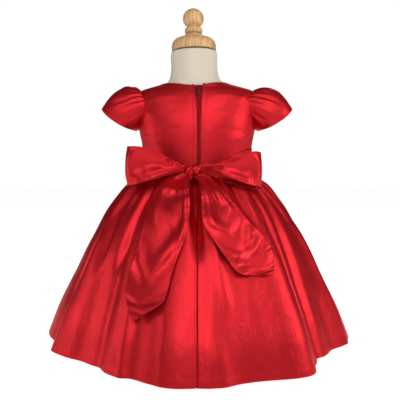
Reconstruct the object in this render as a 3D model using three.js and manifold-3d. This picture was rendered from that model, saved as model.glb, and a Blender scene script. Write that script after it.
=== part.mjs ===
// A toddler's satin party dress on a limbless dress form, with a bow tied at the back of the waist.
// Millimetres, +Z up. The origin is the middle of the stand's underside. The back of the dress,
// with its zip and its bow, faces -Y, and +X is on the right of someone who looks at that back.
import * as THREE from 'three';
import Module from 'manifold-3d';
import { mergeVertices } from 'three/addons/utils/BufferGeometryUtils.js';

const wasm = await Module();
wasm.setup();

// Cloth and clearances
const CLOTH = 1.2;            // satin wall
const RIBBON = 1.0;           // ribbon wall of the sash and the bow
const SEAM_GAP = 0.3;         // between two pieces that are sewn together
const FORM_GAP = 0.5;         // between the form and the cloth on it
const RADIANS = Math.PI / 180;

// Levels
const HEM_Z = 8;
const WAIST_Z = 303;
const NECK_TOP_Z = 524.5;
const TORSO_BOTTOM_Z = 228;

// The torso of the form, one row for each level. power 2 is an ellipse, more is squarer.
// tilt is the slope of the level to the left, as the neck leans.
const TORSO = [
  { z: 228, halfWidth: 92.0, halfDepth: 80.0, centreX: 0, centreY: 0, power: 2.0, tilt: 0 },
  { z: 236, halfWidth: 100.0, halfDepth: 87.0, centreX: 0, centreY: 0, power: 2.0, tilt: 0 },
  { z: 262, halfWidth: 101.5, halfDepth: 87.5, centreX: 0, centreY: 0, power: 2.0, tilt: 0 },
  { z: 285, halfWidth: 98.6, halfDepth: 83.0, centreX: 0, centreY: 0, power: 2.0, tilt: 0 },
  { z: 303, halfWidth: 98.1, halfDepth: 81.3, centreX: 0, centreY: 0, power: 2.0, tilt: 0 },
  { z: 322, halfWidth: 99.0, halfDepth: 80.6, centreX: 0, centreY: 0, power: 2.1, tilt: 0 },
  { z: 341, halfWidth: 101.0, halfDepth: 80.0, centreX: 0, centreY: 0, power: 2.2, tilt: 0 },
  { z: 360, halfWidth: 103.5, halfDepth: 79.0, centreX: 0, centreY: 0, power: 2.3, tilt: 0 },
  { z: 379, halfWidth: 108.0, halfDepth: 77.0, centreX: 0, centreY: 0, power: 2.3, tilt: 0 },
  { z: 398, halfWidth: 110.5, halfDepth: 73.0, centreX: 0, centreY: 0, power: 2.3, tilt: 0 },
  { z: 416, halfWidth: 111.5, halfDepth: 67.5, centreX: 0, centreY: 0, power: 2.3, tilt: 0 },
  { z: 432, halfWidth: 111.0, halfDepth: 61.0, centreX: 0, centreY: 0.4, power: 2.3, tilt: 0 },
  { z: 443, halfWidth: 109.0, halfDepth: 55.5, centreX: 0, centreY: 0.8, power: 2.2, tilt: 0 },
  { z: 449, halfWidth: 104.5, halfDepth: 51.5, centreX: 0, centreY: 1.2, power: 2.1, tilt: 0 },
  { z: 453.5, halfWidth: 92.0, halfDepth: 48.5, centreX: -0.2, centreY: 1.6, power: 2.0, tilt: 0 },
  { z: 457.5, halfWidth: 77.0, halfDepth: 46.5, centreX: -0.6, centreY: 1.8, power: 2.0, tilt: 0 },
  { z: 461.5, halfWidth: 64.0, halfDepth: 45.2, centreX: -1.4, centreY: 2.0, power: 2.0, tilt: 0 },
  { z: 466, halfWidth: 54.5, halfDepth: 44.4, centreX: -2.8, centreY: 2.0, power: 2.0, tilt: 0 },
  { z: 473, halfWidth: 48.0, halfDepth: 43.8, centreX: -4.2, centreY: 2.0, power: 2.0, tilt: 0.004 },
  { z: 484, halfWidth: 44.8, halfDepth: 43.5, centreX: -4.9, centreY: 2.0, power: 2.0, tilt: 0.012 },
  { z: 500, halfWidth: 43.6, halfDepth: 43.2, centreX: -5.3, centreY: 2.0, power: 2.0, tilt: 0.019 },
  { z: 517, halfWidth: 44.3, halfDepth: 43.6, centreX: -5.7, centreY: 2.0, power: 2.0, tilt: 0.019 },
  { z: 524.5, halfWidth: 42.8, halfDepth: 42.4, centreX: -5.8, centreY: 2.0, power: 2.0, tilt: 0.019 },
];
const TORSO_SIDES = 36;

// The skirt's outline, one row for each level: half width at the sides and half depth at the back.
const SKIRT = [
  { z: 303, side: 99.8, back: 83 },
  { z: 297, side: 101.3, back: 85.5 },
  { z: 290, side: 106.5, back: 92 },
  { z: 282, side: 118, back: 104 },
  { z: 274, side: 129.5, back: 115.5 },
  { z: 252, side: 148, back: 136 },
  { z: 224, side: 168, back: 158.5 },
  { z: 192, side: 186, back: 180 },
  { z: 158, side: 203, back: 199 },
  { z: 123, side: 218, back: 216 },
  { z: 91, side: 233, back: 232 },
  { z: 55, side: 249, back: 249 },
  { z: 8, side: 266, back: 266 },
];
const SKIRT_LEVELS = [303, 296, 288, 278, 262, 232, 190, 140, 75, 8];

// Folds of the skirt. angle is measured from the centre back towards +X, width is the fold's half
// width in degrees, depth is how far it stands out at the hem, and start is where it begins, as a
// share of the way from the waist to the hem. A fold with a minus depth is a hollow.
const FOLDS = [
  { angle: -170, width: 11, depth: 9, start: 0.15 },
  { angle: -140, width: 9, depth: 12, start: 0.1 },
  { angle: -122, width: 8, depth: -7, start: 0.2 },
  { angle: -104, width: 10, depth: 9, start: 0.1 },
  { angle: -84, width: 9, depth: 7, start: 0.15 },
  { angle: -66, width: 6, depth: -9, start: 0.15 },
  { angle: -58, width: 5, depth: 6, start: 0.05 },
  { angle: -42, width: 11, depth: -13, start: 0.1 },
  { angle: -18, width: 9, depth: 6, start: 0.1 },
  { angle: 0, width: 11, depth: 9, start: 0.2 },
  { angle: 32, width: 9, depth: 16, start: 0.05 },
  { angle: 50, width: 11, depth: -8, start: 0.1 },
  { angle: 76, width: 9, depth: 10, start: 0.1 },
  { angle: 94, width: 9, depth: -6, start: 0.15 },
  { angle: 112, width: 10, depth: 11, start: 0.1 },
  { angle: 131, width: 8, depth: -6, start: 0.2 },
  { angle: 150, width: 10, depth: 12, start: 0.1 },
];
const GATHERS = 34;             // small unpressed gathers round the waist seam
const GATHER_DEPTH = 2.0;
const GATHER_RISE = [4, 22];    // they deepen between these distances under the waist seam
const GATHER_FALL = [30, 80];   // and fade out between these
const COLUMNS_PER_GATHER = 3;

// Seams of the body of the dress
const SIDE_SEAM_ANGLE = 93;     // side seams, in degrees from the centre back
const SEAM_Y = -5;              // side and shoulder seams of the bodice
const NECKLINE = { x: -3, halfWidth: 65, back: -47.4, front: 58.5 };
const ARMHOLE = { y: -2, z: 414, halfDepth: 40, halfHeight: 37, innerX: 82 };

const CUTTER_REACH = 100;       // how far a cutter goes past the body that it trims
const BODICE_TOP_Z = 480;

// The centre-back opening over the zip: half its width at each level
const ZIP_X = 2.7;
const PLACKET = [
  { z: 295, half: 3.8 },
  { z: 330, half: 3.9 },
  { z: 405, half: 4.4 },
  { z: 436, half: 5.2 },
  { z: 470, half: 9.5 },
];

// Cap sleeves. The hem is a slanted loop: its middle, half its slanted length and half its depth.
const SLEEVE_HEM = {
  x: 147.5, z: 395.5, longX: 31, longZ: 20.5, halfDepth: 45, sag: 6, frontLift: 5, spread: 0.4,
};
// How far the two guide points of the sleeve's curve are lifted, and how far along it they are.
const SLEEVE_PUFF = { near: 14, nearShare: 0.2, far: 40, farShare: 0.62 };
const SLEEVE_SIDES = { forward: 0.75, level: 0.3 };   // puff at the front and back beside the top
const SLEEVE_SEAM = 0.8;                // half of the sleeve's flat start in the armhole
const SLEEVE_PLAIN_COLUMNS = 11;        // round the underarm, which isn't gathered
const SLEEVE_GATHERS = 9;
const SLEEVE_GATHER_DEPTH = 1.2;
const SLEEVE_GATHER_SPAN = [20, 160];   // degrees round the armhole, 90 at the shoulder
const SLEEVE_STEPS = [0.08, 0.22, 0.42, 0.66, 1];

// The sash round the waist: its lower and upper edge by the angle from the centre back
const SASH = [
  { angle: 0, bottom: 303.6, top: 311 },
  { angle: 20, bottom: 303.6, top: 317 },
  { angle: 45, bottom: 303.6, top: 332 },
  { angle: 75, bottom: 303.6, top: 341 },
  { angle: 180, bottom: 303.6, top: 341 },
];
const SASH_COLUMNS = 48;
const SASH_GAP = 0.4;

// Loops of the bow, followed from the knot along the outer layer to the fold and back to the knot.
// x and y run along the middle of the ribbon, and crown is how far that middle stands out.
const LOOP_LEFT = [
  { x: -14, y: -98, top: 307, bottom: 300, crown: 0 },
  { x: -24, y: -102, top: 311, bottom: 301, crown: 1 },
  { x: -40, y: -109, top: 319, bottom: 302, crown: 3 },
  { x: -60, y: -115, top: 330, bottom: 295, crown: 5 },
  { x: -80, y: -117, top: 339, bottom: 288, crown: 6 },
  { x: -99, y: -113, top: 342.5, bottom: 281, crown: 5 },
  { x: -114, y: -103, top: 343.5, bottom: 277, crown: 3 },
  { x: -120, y: -91, top: 343, bottom: 276, crown: 2 },
  { x: -114, y: -81, top: 341, bottom: 277, crown: 2 },
  { x: -96, y: -81, top: 337, bottom: 281, crown: 2 },
  { x: -72, y: -86, top: 329, bottom: 287, crown: 1 },
  { x: -48, y: -90, top: 319, bottom: 294, crown: 0 },
  { x: -28, y: -92, top: 311, bottom: 298, crown: 0 },
  { x: -14, y: -93, top: 307, bottom: 299, crown: 0 },
];
const LOOP_RIGHT = [
  { x: -2, y: -98, top: 307, bottom: 300, crown: 0 },
  { x: 14, y: -101, top: 309, bottom: 302, crown: 0 },
  { x: 30, y: -107, top: 313, bottom: 301, crown: 2 },
  { x: 47, y: -112, top: 319, bottom: 294, crown: 4 },
  { x: 62, y: -115, top: 324, bottom: 288.5, crown: 5 },
  { x: 78, y: -115, top: 329, bottom: 282, crown: 5 },
  { x: 93, y: -110, top: 334, bottom: 277.5, crown: 4 },
  { x: 105, y: -100, top: 334.5, bottom: 275, crown: 2 },
  { x: 110, y: -90, top: 332, bottom: 272, crown: 2 },
  { x: 104, y: -82, top: 331, bottom: 270.5, crown: 2 },
  { x: 86, y: -82, top: 327, bottom: 271, crown: 1 },
  { x: 64, y: -87, top: 322, bottom: 275, crown: 1 },
  { x: 42, y: -91, top: 316, bottom: 284, crown: 0 },
  { x: 20, y: -93, top: 310, bottom: 294, crown: 0 },
  { x: -2, y: -93, top: 307, bottom: 299, crown: 0 },
];
const LOOP_STEPS = 26;
const LOOP_ACROSS = 5;
const LOOP_CLEARANCE = 1.2;

// Tails of the bow, from the knot down. Each row gives the two edges on the skirt and how far the
// ribbon stands off it.
const TAIL_LEFT = [
  { leftX: -22, leftZ: 298, rightX: -6, rightZ: 292, lift: 10 },
  { leftX: -46, leftZ: 292, rightX: -13, rightZ: 285, lift: 12 },
  { leftX: -64.6, leftZ: 276.8, rightX: -13, rightZ: 272, lift: 12 },
  { leftX: -73.5, leftZ: 262, rightX: -11.5, rightZ: 256, lift: 11 },
  { leftX: -83, leftZ: 233.7, rightX: -12.3, rightZ: 230, lift: 10 },
  { leftX: -91, leftZ: 193.3, rightX: -20.2, rightZ: 196, lift: 8 },
  { leftX: -102.8, leftZ: 155.6, rightX: -36.2, rightZ: 157, lift: 7 },
  { leftX: -109.6, leftZ: 128, rightX: -43, rightZ: 129, lift: 6 },
  { leftX: -108, leftZ: 113, rightX: -49, rightZ: 114, lift: 6 },
  { leftX: -103.5, leftZ: 101, rightX: -63, rightZ: 104, lift: 5 },
  { leftX: -98.5, leftZ: 91, rightX: -80, rightZ: 93.5, lift: 5 },
  { leftX: -95, leftZ: 85, rightX: -93, rightZ: 85.5, lift: 5 },
];
const TAIL_RIGHT = [
  { leftX: -6, leftZ: 292, rightX: 10, rightZ: 298, lift: 10 },
  { leftX: 2, leftZ: 286, rightX: 24, rightZ: 290, lift: 12 },
  { leftX: 6.6, leftZ: 270.3, rightX: 40, rightZ: 271, lift: 12 },
  { leftX: 7.3, leftZ: 250.3, rightX: 60, rightZ: 251, lift: 11 },
  { leftX: 10, leftZ: 221, rightX: 81, rightZ: 225.6, lift: 10 },
  { leftX: 25, leftZ: 199, rightX: 97.5, rightZ: 208.7, lift: 9 },
  { leftX: 42, leftZ: 174.8, rightX: 109, rightZ: 196, lift: 8 },
  { leftX: 59, leftZ: 153.5, rightX: 119, rightZ: 181, lift: 7 },
  { leftX: 76, leftZ: 146, rightX: 120, rightZ: 163, lift: 6 },
  { leftX: 97, leftZ: 144.5, rightX: 119.5, rightZ: 152, lift: 6 },
  { leftX: 116.5, leftZ: 144, rightX: 118.5, rightZ: 145, lift: 6 },
];
const TAIL_STEPS = 19;
const TAIL_ACROSS = 7;

const KNOT = { x: -8, y: -96.6, z: 301.5, halfWidth: 13, halfDepth: 11.2, halfHeight: 11.5, roundness: 0.8 };

// Zip tape with its coil. slack is its gap to the form, and thick and coilProud are its heights.
const ZIP_TAPE = { low: 304.5, high: 456, rows: 13, thick: 0.7, coilHalf: 1.7, coilSlope: 0.3, coilProud: 1.5, slack: 0.4 };

// Zip slider and its pull tab, in a frame that lies on the back of the dress
const SLIDER = {
  z: 449, width: 6.4, length: 9, depth: 2.2, lug: 1.0, lugFrom: -1.2, lugTo: 1.6, lugInset: 0.2,
  barRadius: 0.65, barAhead: 2.3, barCover: 0.8, barZ: 0.2,
};
const PULL = {
  width: 5.4, length: 18, thick: 1.1, shoulder: 5, neck: 1.2,
  eyeRadius: 1.8, eyePlay: 0.5, boreRadius: 0.95, lean: 10,
};

// Wooden cap and finial as radius and height above the neck, and the stand
const SEAL = { radius: 42.2, height: 2 };
const CAP = { radius: 42, side: 10, height: 25.5, flat: 24, shoulder: 14, steps: 6 };
const FINIAL_PROFILE = [
  { r: 17.6, z: 0 }, { r: 17.6, z: 4.5 }, { r: 13.6, z: 6.6 }, { r: 16.2, z: 9 }, { r: 16.8, z: 13 },
  { r: 15.8, z: 17.5 }, { r: 12.2, z: 20 }, { r: 12.2, z: 21.4 }, { r: 16.6, z: 25.2 }, { r: 19.2, z: 31 },
  { r: 19.7, z: 37.5 }, { r: 17.8, z: 45 }, { r: 12.8, z: 51 }, { r: 6.4, z: 54.4 },
];
const FINIAL_TOP = 55.2;
const POST = { radius: 12.5 };
const BASE = { radius: 120, height: 14, round: 4, corner: 0.3 };

const MATERIALS = {
  satin: { color: 0xb5121f, roughness: 0.42, metalness: 0 },
  ribbon: { color: 0xc01623, roughness: 0.38, metalness: 0 },
  zip: { color: 0x7d1019, roughness: 0.7, metalness: 0 },
  enamel: { color: 0x6b2a2a, roughness: 0.4, metalness: 0.3 },
  linen: { color: 0xded2b6, roughness: 0.9, metalness: 0 },
  wood: { color: 0xd9b078, roughness: 0.55, metalness: 0 },
  felt: { color: 0x3a2a1c, roughness: 0.9, metalness: 0 },
  steel: { color: 0xb9b9b6, roughness: 0.35, metalness: 0.9 },
  board: { color: 0xe6dfd0, roughness: 0.6, metalness: 0 },
};

// A smooth curve through the rows of a table, read at one value of its key column.
function sample(table, key, at) {
  const rising = table[table.length - 1][key] > table[0][key];
  let i = 0;
  while (i < table.length - 2 && (rising ? at > table[i + 1][key] : at < table[i + 1][key])) i += 1;
  const span = table[i + 1][key] - table[i][key];
  const t = THREE.MathUtils.clamp((at - table[i][key]) / span, 0, 1);
  const row = {};
  for (const column of Object.keys(table[0])) {
    const slope = (j) => {
      const low = table[Math.max(j - 1, 0)];
      const high = table[Math.min(j + 1, table.length - 1)];
      return (high[column] - low[column]) / (high[key] - low[key]) * span;
    };
    const [from, to] = [table[i][column], table[i + 1][column]];
    const [m0, m1] = [slope(i), slope(i + 1)];
    row[column] = (2 * t ** 3 - 3 * t ** 2 + 1) * from + (t ** 3 - 2 * t ** 2 + t) * m0
      + (3 * t ** 2 - 2 * t ** 3) * to + (t ** 3 - t ** 2) * m1;
  }
  row[key] = at;
  return row;
}

// The same for a table whose rows are evenly spaced along a path: at runs from 0 to 1.
function along(table, at) {
  const rows = table.map((row, i) => ({ share: i / (table.length - 1), ...row }));
  return sample(rows, 'share', at);
}

function geometryFrom(points, triangles) {
  const geometry = new THREE.BufferGeometry();
  geometry.setAttribute('position', new THREE.Float32BufferAttribute(points.flatMap((p) => p.toArray()), 3));
  geometry.setIndex(triangles.flat());
  return geometry;
}

// Turns a closed mesh right side out, told by the sign of its volume.
function facingOut(points, triangles) {
  const volume = triangles.reduce((sum, [a, b, c]) => (
    sum + points[a].dot(new THREE.Vector3().crossVectors(points[b], points[c]))), 0);
  return volume < 0 ? triangles.map(([a, b, c]) => [a, c, b]) : triangles;
}

// Unit normals of a grid of points, as rows of columns.
function gridNormals(grid, closed) {
  const [rows, columns] = [grid.length, grid[0].length];
  return grid.map((line, i) => line.map((point, j) => {
    const up = grid[Math.min(i + 1, rows - 1)][j].clone().sub(grid[Math.max(i - 1, 0)][j]);
    const next = closed ? (j + 1) % columns : Math.min(j + 1, columns - 1);
    const last = closed ? (j + columns - 1) % columns : Math.max(j - 1, 0);
    return line[next].clone().sub(line[last]).cross(up).normalize();
  }));
}

function offsetGrid(grid, distance, closed) {
  const normals = gridNormals(grid, closed);
  return grid.map((line, i) => line.map((point, j) => point.clone().addScaledVector(normals[i][j], distance)));
}

// A wall between two grids of the same size: a sheet, or a tube when closed is true.
function wallBetween(outer, inner, closed) {
  const [rows, columns] = [outer.length, outer[0].length];
  const points = [...outer.flat(), ...inner.flat()];
  const shift = rows * columns;
  const at = (i, j) => i * columns + (j % columns);
  const triangles = [];
  const quad = (a, b, c, d) => triangles.push([a, b, c], [a, c, d]);
  const spans = closed ? columns : columns - 1;
  for (let i = 0; i < rows - 1; i += 1) {
    for (let j = 0; j < spans; j += 1) {
      quad(at(i, j), at(i, j + 1), at(i + 1, j + 1), at(i + 1, j));
      quad(shift + at(i, j), shift + at(i + 1, j), shift + at(i + 1, j + 1), shift + at(i, j + 1));
    }
  }
  for (let j = 0; j < spans; j += 1) {
    quad(at(0, j + 1), at(0, j), shift + at(0, j), shift + at(0, j + 1));
    quad(at(rows - 1, j), at(rows - 1, j + 1), shift + at(rows - 1, j + 1), shift + at(rows - 1, j));
  }
  if (!closed) {
    for (let i = 0; i < rows - 1; i += 1) {
      quad(at(i, 0), at(i + 1, 0), shift + at(i + 1, 0), shift + at(i, 0));
      quad(at(i + 1, columns - 1), at(i, columns - 1), shift + at(i, columns - 1), shift + at(i + 1, columns - 1));
    }
  }
  return geometryFrom(points, facingOut(points, triangles));
}

// A solid through a stack of closed rings, with flat ends.
function loft(rings) {
  const columns = rings[0].length;
  const points = rings.flat();
  const triangles = [];
  rings.slice(1).forEach((ring, i) => {
    for (let j = 0; j < columns; j += 1) {
      const [a, b] = [i * columns + j, i * columns + ((j + 1) % columns)];
      triangles.push([a, b, b + columns], [a, b + columns, a + columns]);
    }
  });
  for (const [first, flip] of [[0, true], [(rings.length - 1) * columns, false]]) {
    for (let j = 1; j < columns - 1; j += 1) {
      triangles.push(flip ? [first, first + j + 1, first + j] : [first, first + j, first + j + 1]);
    }
  }
  return geometryFrom(points, facingOut(points, triangles));
}

function toSolid(geometry) {
  const bare = geometry.index ? geometry.clone() : mergeVertices(geometry);
  bare.deleteAttribute('normal');
  bare.deleteAttribute('uv');
  const merged = mergeVertices(bare, 1e-4);
  return new wasm.Manifold(new wasm.Mesh({
    numProp: 3,
    vertProperties: new Float32Array(merged.attributes.position.array),
    triVerts: new Uint32Array(merged.index.array),
  }));
}

function fromSolid(solid) {
  const mesh = solid.getMesh();
  const geometry = new THREE.BufferGeometry();
  geometry.setAttribute('position', new THREE.BufferAttribute(new Float32Array(mesh.vertProperties), 3));
  geometry.setIndex(new THREE.BufferAttribute(new Uint32Array(mesh.triVerts), 1));
  return geometry;
}

function boxSolid([x0, x1], [y0, y1], [z0, z1]) {
  const box = new THREE.BoxGeometry(x1 - x0, y1 - y0, z1 - z0);
  return toSolid(box.translate((x0 + x1) / 2, (y0 + y1) / 2, (z0 + z1) / 2));
}

// Torso of the form, and the bodice that is worn on it
function torsoGrid() {
  return TORSO.map((row) => Array.from({ length: TORSO_SIDES }, (_, j) => {
    const turn = j / TORSO_SIDES * 2 * Math.PI;
    const round = (value) => Math.sign(value) * Math.abs(value) ** (2 / row.power);
    const x = row.halfWidth * round(Math.sin(turn));
    return new THREE.Vector3(row.centreX + x, row.centreY - row.halfDepth * round(Math.cos(turn)),
      row.z + x * row.tilt);
  }));
}

// The torso's row that lies under a level of a face that is proud of the form: on a slope the face
// is lifted as well as moved out. column is the half width or the half depth that the slope is read from.
function rowUnder(z, proud, column) {
  let level = z;
  let outwards = 1;
  for (let i = 0; i < 5; i += 1) {
    const slope = (sample(TORSO, 'z', level + 0.5)[column] - sample(TORSO, 'z', level - 0.5)[column]);
    outwards = 1 / Math.hypot(1, slope);
    level = z + proud * slope * outwards;
  }
  return { ...sample(TORSO, 'z', level), outwards: proud * outwards };
}

// x of the outer face of the bodice's side at a depth and a level
function bodiceSideX(y, z, side) {
  const row = rowUnder(z, FORM_GAP + CLOTH, 'halfWidth');
  const share = Math.min(Math.abs(y - row.centreY) / (row.halfDepth + row.outwards), 1);
  return row.centreX + side * (row.halfWidth + row.outwards) * (1 - share ** row.power) ** (1 / row.power);
}

// y of a face that lies on the back of the form, proud of it by a distance
function backY(x, z, proud) {
  const row = rowUnder(z, proud, 'halfDepth');
  const share = Math.abs(x - row.centreX) / (row.halfWidth + row.outwards);
  return row.centreY - (row.halfDepth + row.outwards) * (1 - share ** row.power) ** (1 / row.power);
}

function placketCutter() {
  const right = PLACKET.map(({ z, half }) => new THREE.Vector2(ZIP_X + half, z));
  const left = PLACKET.map(({ z, half }) => new THREE.Vector2(ZIP_X - half, z)).reverse();
  const shape = new THREE.Shape([...right, ...left]);
  const cutter = new THREE.ExtrudeGeometry(shape, { depth: CUTTER_REACH, bevelEnabled: false });
  return toSolid(cutter.rotateX(Math.PI / 2).translate(0, -CUTTER_REACH / 5, 0));
}

function bodicePanels() {
  const grid = torsoGrid();
  let shell = toSolid(loft(offsetGrid(grid, FORM_GAP + CLOTH, true)))
    .subtract(toSolid(loft(offsetGrid(grid, FORM_GAP, true))));
  const neckDepth = (NECKLINE.front - NECKLINE.back) / 2;
  const neck = new THREE.CylinderGeometry(1, 1, 2 * CUTTER_REACH, 48).rotateX(Math.PI / 2)
    .scale(NECKLINE.halfWidth, neckDepth, 1)
    .translate(NECKLINE.x, (NECKLINE.front + NECKLINE.back) / 2, NECK_TOP_Z);
  shell = shell.subtract(toSolid(neck));
  for (const side of [-1, 1]) {
    const hole = new THREE.CylinderGeometry(1, 1, CUTTER_REACH, 48).rotateZ(Math.PI / 2)
      .scale(1, ARMHOLE.halfDepth, ARMHOLE.halfHeight)
      .translate(side * (ARMHOLE.innerX + CUTTER_REACH / 2), ARMHOLE.y, ARMHOLE.z);
    shell = shell.subtract(toSolid(hole));
  }
  shell = shell.subtract(placketCutter());
  const low = WAIST_Z + SEAM_GAP;
  const half = SEAM_GAP / 2;
  const far = 2 * CUTTER_REACH;
  const levels = [low, BODICE_TOP_Z];
  return {
    bodice_front: shell.intersect(boxSolid([-far, far], [SEAM_Y + half, far], levels)),
    bodice_back_left: shell.intersect(boxSolid([-far, ZIP_X], [-far, SEAM_Y - half], levels)),
    bodice_back_right: shell.intersect(boxSolid([ZIP_X, far], [-far, SEAM_Y - half], levels)),
  };
}

// Skirt: its outline with the folds and the gathers
function foldDepth(angle, share) {
  return FOLDS.reduce((sum, fold) => {
    const away = THREE.MathUtils.euclideanModulo(angle - fold.angle + 180, 360) - 180;
    const grown = THREE.MathUtils.smoothstep(share, fold.start, 1);
    return sum + fold.depth * grown * Math.exp(-((away / fold.width) ** 2));
  }, 0);
}

function gatherDepth(angle, z) {
  const below = WAIST_Z - z;
  const fade = THREE.MathUtils.smoothstep(below, ...GATHER_RISE)
    * (1 - THREE.MathUtils.smoothstep(below, ...GATHER_FALL));
  return GATHER_DEPTH * fade * Math.sin(angle * GATHERS * RADIANS);
}

function skirtPoint(angle, z, proud = 0) {
  const row = sample(SKIRT, 'z', z);
  const share = (WAIST_Z - z) / (WAIST_Z - HEM_Z);
  const out = proud + foldDepth(angle, share) + gatherDepth(angle, z);
  return new THREE.Vector3((row.side + out) * Math.sin(angle * RADIANS),
    -(row.back + out) * Math.cos(angle * RADIANS), z);
}

function skirtPanel(fromAngle, toAngle) {
  const columns = Math.round((toAngle - fromAngle) / 360 * GATHERS * COLUMNS_PER_GATHER);
  const grid = (inwards) => SKIRT_LEVELS.map((z) => {
    const flare = sample(SKIRT, 'z', z - 1).side - sample(SKIRT, 'z', z + 1).side;
    const proud = -inwards * Math.hypot(1, flare / 2);
    return Array.from({ length: columns + 1 }, (_, j) => {
      const inset = (j === 0 ? 1 : 0) - (j === columns ? 1 : 0);
      const seam = skirtPoint(inset > 0 ? fromAngle : toAngle, z, proud);
      const apart = inset * SEAM_GAP / 2 / Math.hypot(seam.x, seam.y) / RADIANS;
      return skirtPoint(fromAngle + (toAngle - fromAngle) * j / columns + apart, z, proud);
    });
  });
  return wallBetween(grid(0), grid(CLOTH), false);
}

// Sleeves
function sleeveHem(turn, side) {
  const { x, z, longX, longZ, halfDepth, sag, frontLift, spread } = SLEEVE_HEM;
  const [rise, away] = [Math.sin(turn), Math.cos(turn)];
  const drop = sag * away ** 2 - frontLift * Math.max(away, 0) ** 2;
  return new THREE.Vector3(side * (x + longX * rise + spread * drop), ARMHOLE.y + halfDepth * away,
    z + longZ * rise - drop);
}

function sleeveTurns() {
  const [from, to] = SLEEVE_GATHER_SPAN;
  const fine = SLEEVE_GATHERS * 3;
  const turns = Array.from({ length: fine }, (_, i) => from + (to - from) * i / fine);
  const plain = SLEEVE_PLAIN_COLUMNS;
  const rest = Array.from({ length: plain }, (_, i) => to + (360 + from - to) * i / plain);
  return [...turns, ...rest].map((degrees) => degrees * RADIANS);
}

function sleeveTube(side) {
  const turns = sleeveTurns();
  const [from, to] = SLEEVE_GATHER_SPAN;
  const head = turns.map((turn) => {
    const y = ARMHOLE.y + (ARMHOLE.halfDepth - SEAM_GAP) * Math.cos(turn);
    const z = ARMHOLE.z + (ARMHOLE.halfHeight - SEAM_GAP) * Math.sin(turn);
    return new THREE.Vector3(bodiceSideX(y, z, side), y, z);
  });
  const step = (distance) => head.map((point) => point.clone().add(new THREE.Vector3(side * distance, 0, 0)));
  const outer = [step(-SLEEVE_SEAM), step(SLEEVE_SEAM)];
  for (const v of SLEEVE_STEPS) {
    outer.push(turns.map((turn, j) => {
      const start = outer[1][j];
      const end = sleeveHem(turn, side);
      const rise = Math.sin(turn);
      const { forward, level } = SLEEVE_SIDES;
      const puff = rise > 0 ? level + (1 - level) * rise ** 2 : level * (1 + rise);
      const lift = new THREE.Vector3(0, forward * Math.cos(turn), rise).multiplyScalar(puff);
      const reach = end.clone().sub(start);
      const near = start.clone().addScaledVector(reach, SLEEVE_PUFF.nearShare).addScaledVector(lift, SLEEVE_PUFF.near);
      const far = start.clone().addScaledVector(reach, SLEEVE_PUFF.farShare).addScaledVector(lift, SLEEVE_PUFF.far);
      const point = new THREE.CubicBezierCurve3(start, near, far, end).getPoint(v);
      const degrees = THREE.MathUtils.euclideanModulo(turn / RADIANS, 360);
      const within = degrees > from && degrees < to;
      const wave = within ? Math.sin((degrees - from) / (to - from) * SLEEVE_GATHERS * 2 * Math.PI) : 0;
      return point.addScaledVector(lift, SLEEVE_GATHER_DEPTH * wave * (1 - v) / Math.max(puff, level));
    }));
  }
  const inward = side > 0 ? -CLOTH : CLOTH;
  return wallBetween(outer, offsetGrid(outer, inward, true), true);
}

// Sash and bow
function waistPoint(angle, z, proud) {
  const row = sample(TORSO, 'z', z);
  const onForm = FORM_GAP + CLOTH + proud;
  const round = (value) => Math.sign(value) * Math.abs(value) ** (2 / row.power);
  return new THREE.Vector3((row.halfWidth + onForm) * round(Math.sin(angle * RADIANS)),
    -(row.halfDepth + onForm) * round(Math.cos(angle * RADIANS)), z);
}

function sashBand() {
  const grid = (proud) => [0, 0.5, 1].map((share) => Array.from({ length: SASH_COLUMNS }, (_, j) => {
    const angle = j / SASH_COLUMNS * 360 - 180;
    const edge = sample(SASH, 'angle', Math.abs(angle));
    return waistPoint(angle, THREE.MathUtils.lerp(edge.bottom, edge.top, share), proud);
  }));
  return wallBetween(grid(SASH_GAP + RIBBON), grid(SASH_GAP), true);
}

// Half width and half depth of the skirt, bodice and sash at a level, with a distance kept to them.
function waistSize(z, distance) {
  const skirt = z < WAIST_Z ? sample(SKIRT, 'z', z) : { side: 0, back: 0 };
  const gathered = GATHER_DEPTH * THREE.MathUtils.smoothstep(WAIST_Z - z, 2, 14);
  const row = sample(TORSO, 'z', z);
  const onForm = FORM_GAP + CLOTH + SASH_GAP + RIBBON;
  return {
    width: Math.max(skirt.side + gathered, row.halfWidth + onForm) + distance,
    depth: Math.max(skirt.back + gathered, row.halfDepth + onForm) + distance,
  };
}

// Moves a point out of the skirt and the sash, square to the waist, where it would sink into them.
function clearOfWaist(point, distance) {
  const { width, depth } = waistSize(point.z, distance);
  const ratio = Math.hypot(point.x / width, point.y / depth);
  return ratio < 1 ? new THREE.Vector3(point.x / ratio, point.y / ratio, point.z) : point;
}

// The room that the waist takes, which the back of the knot is shaped to
function waistRoom() {
  const reach = 2 * KNOT.halfHeight;
  const levels = [...SKIRT_LEVELS.filter((z) => z > WAIST_Z - 1.5 * reach).reverse(), WAIST_Z + SEAM_GAP, WAIST_Z + reach];
  return toSolid(loft(levels.map((z) => {
    const { width, depth } = waistSize(z, 2 * SEAM_GAP);
    return Array.from({ length: 72 }, (_, j) => {
      const turn = j / 72 * 2 * Math.PI;
      return new THREE.Vector3(width * Math.sin(turn), -depth * Math.cos(turn), z);
    });
  })));
}

function knotSolid(grow) {
  const ball = new THREE.SphereGeometry(1, 20, 12).rotateX(Math.PI / 2);
  const position = ball.attributes.position;
  const squarer = (value) => Math.sign(value) * Math.abs(value) ** KNOT.roundness;
  for (let i = 0; i < position.count; i += 1) {
    position.setXYZ(i, squarer(position.getX(i)), squarer(position.getY(i)), squarer(position.getZ(i)));
  }
  ball.scale(KNOT.halfWidth + grow, KNOT.halfDepth + grow, KNOT.halfHeight + grow);
  return toSolid(ball.translate(KNOT.x, KNOT.y, KNOT.z));
}

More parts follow.
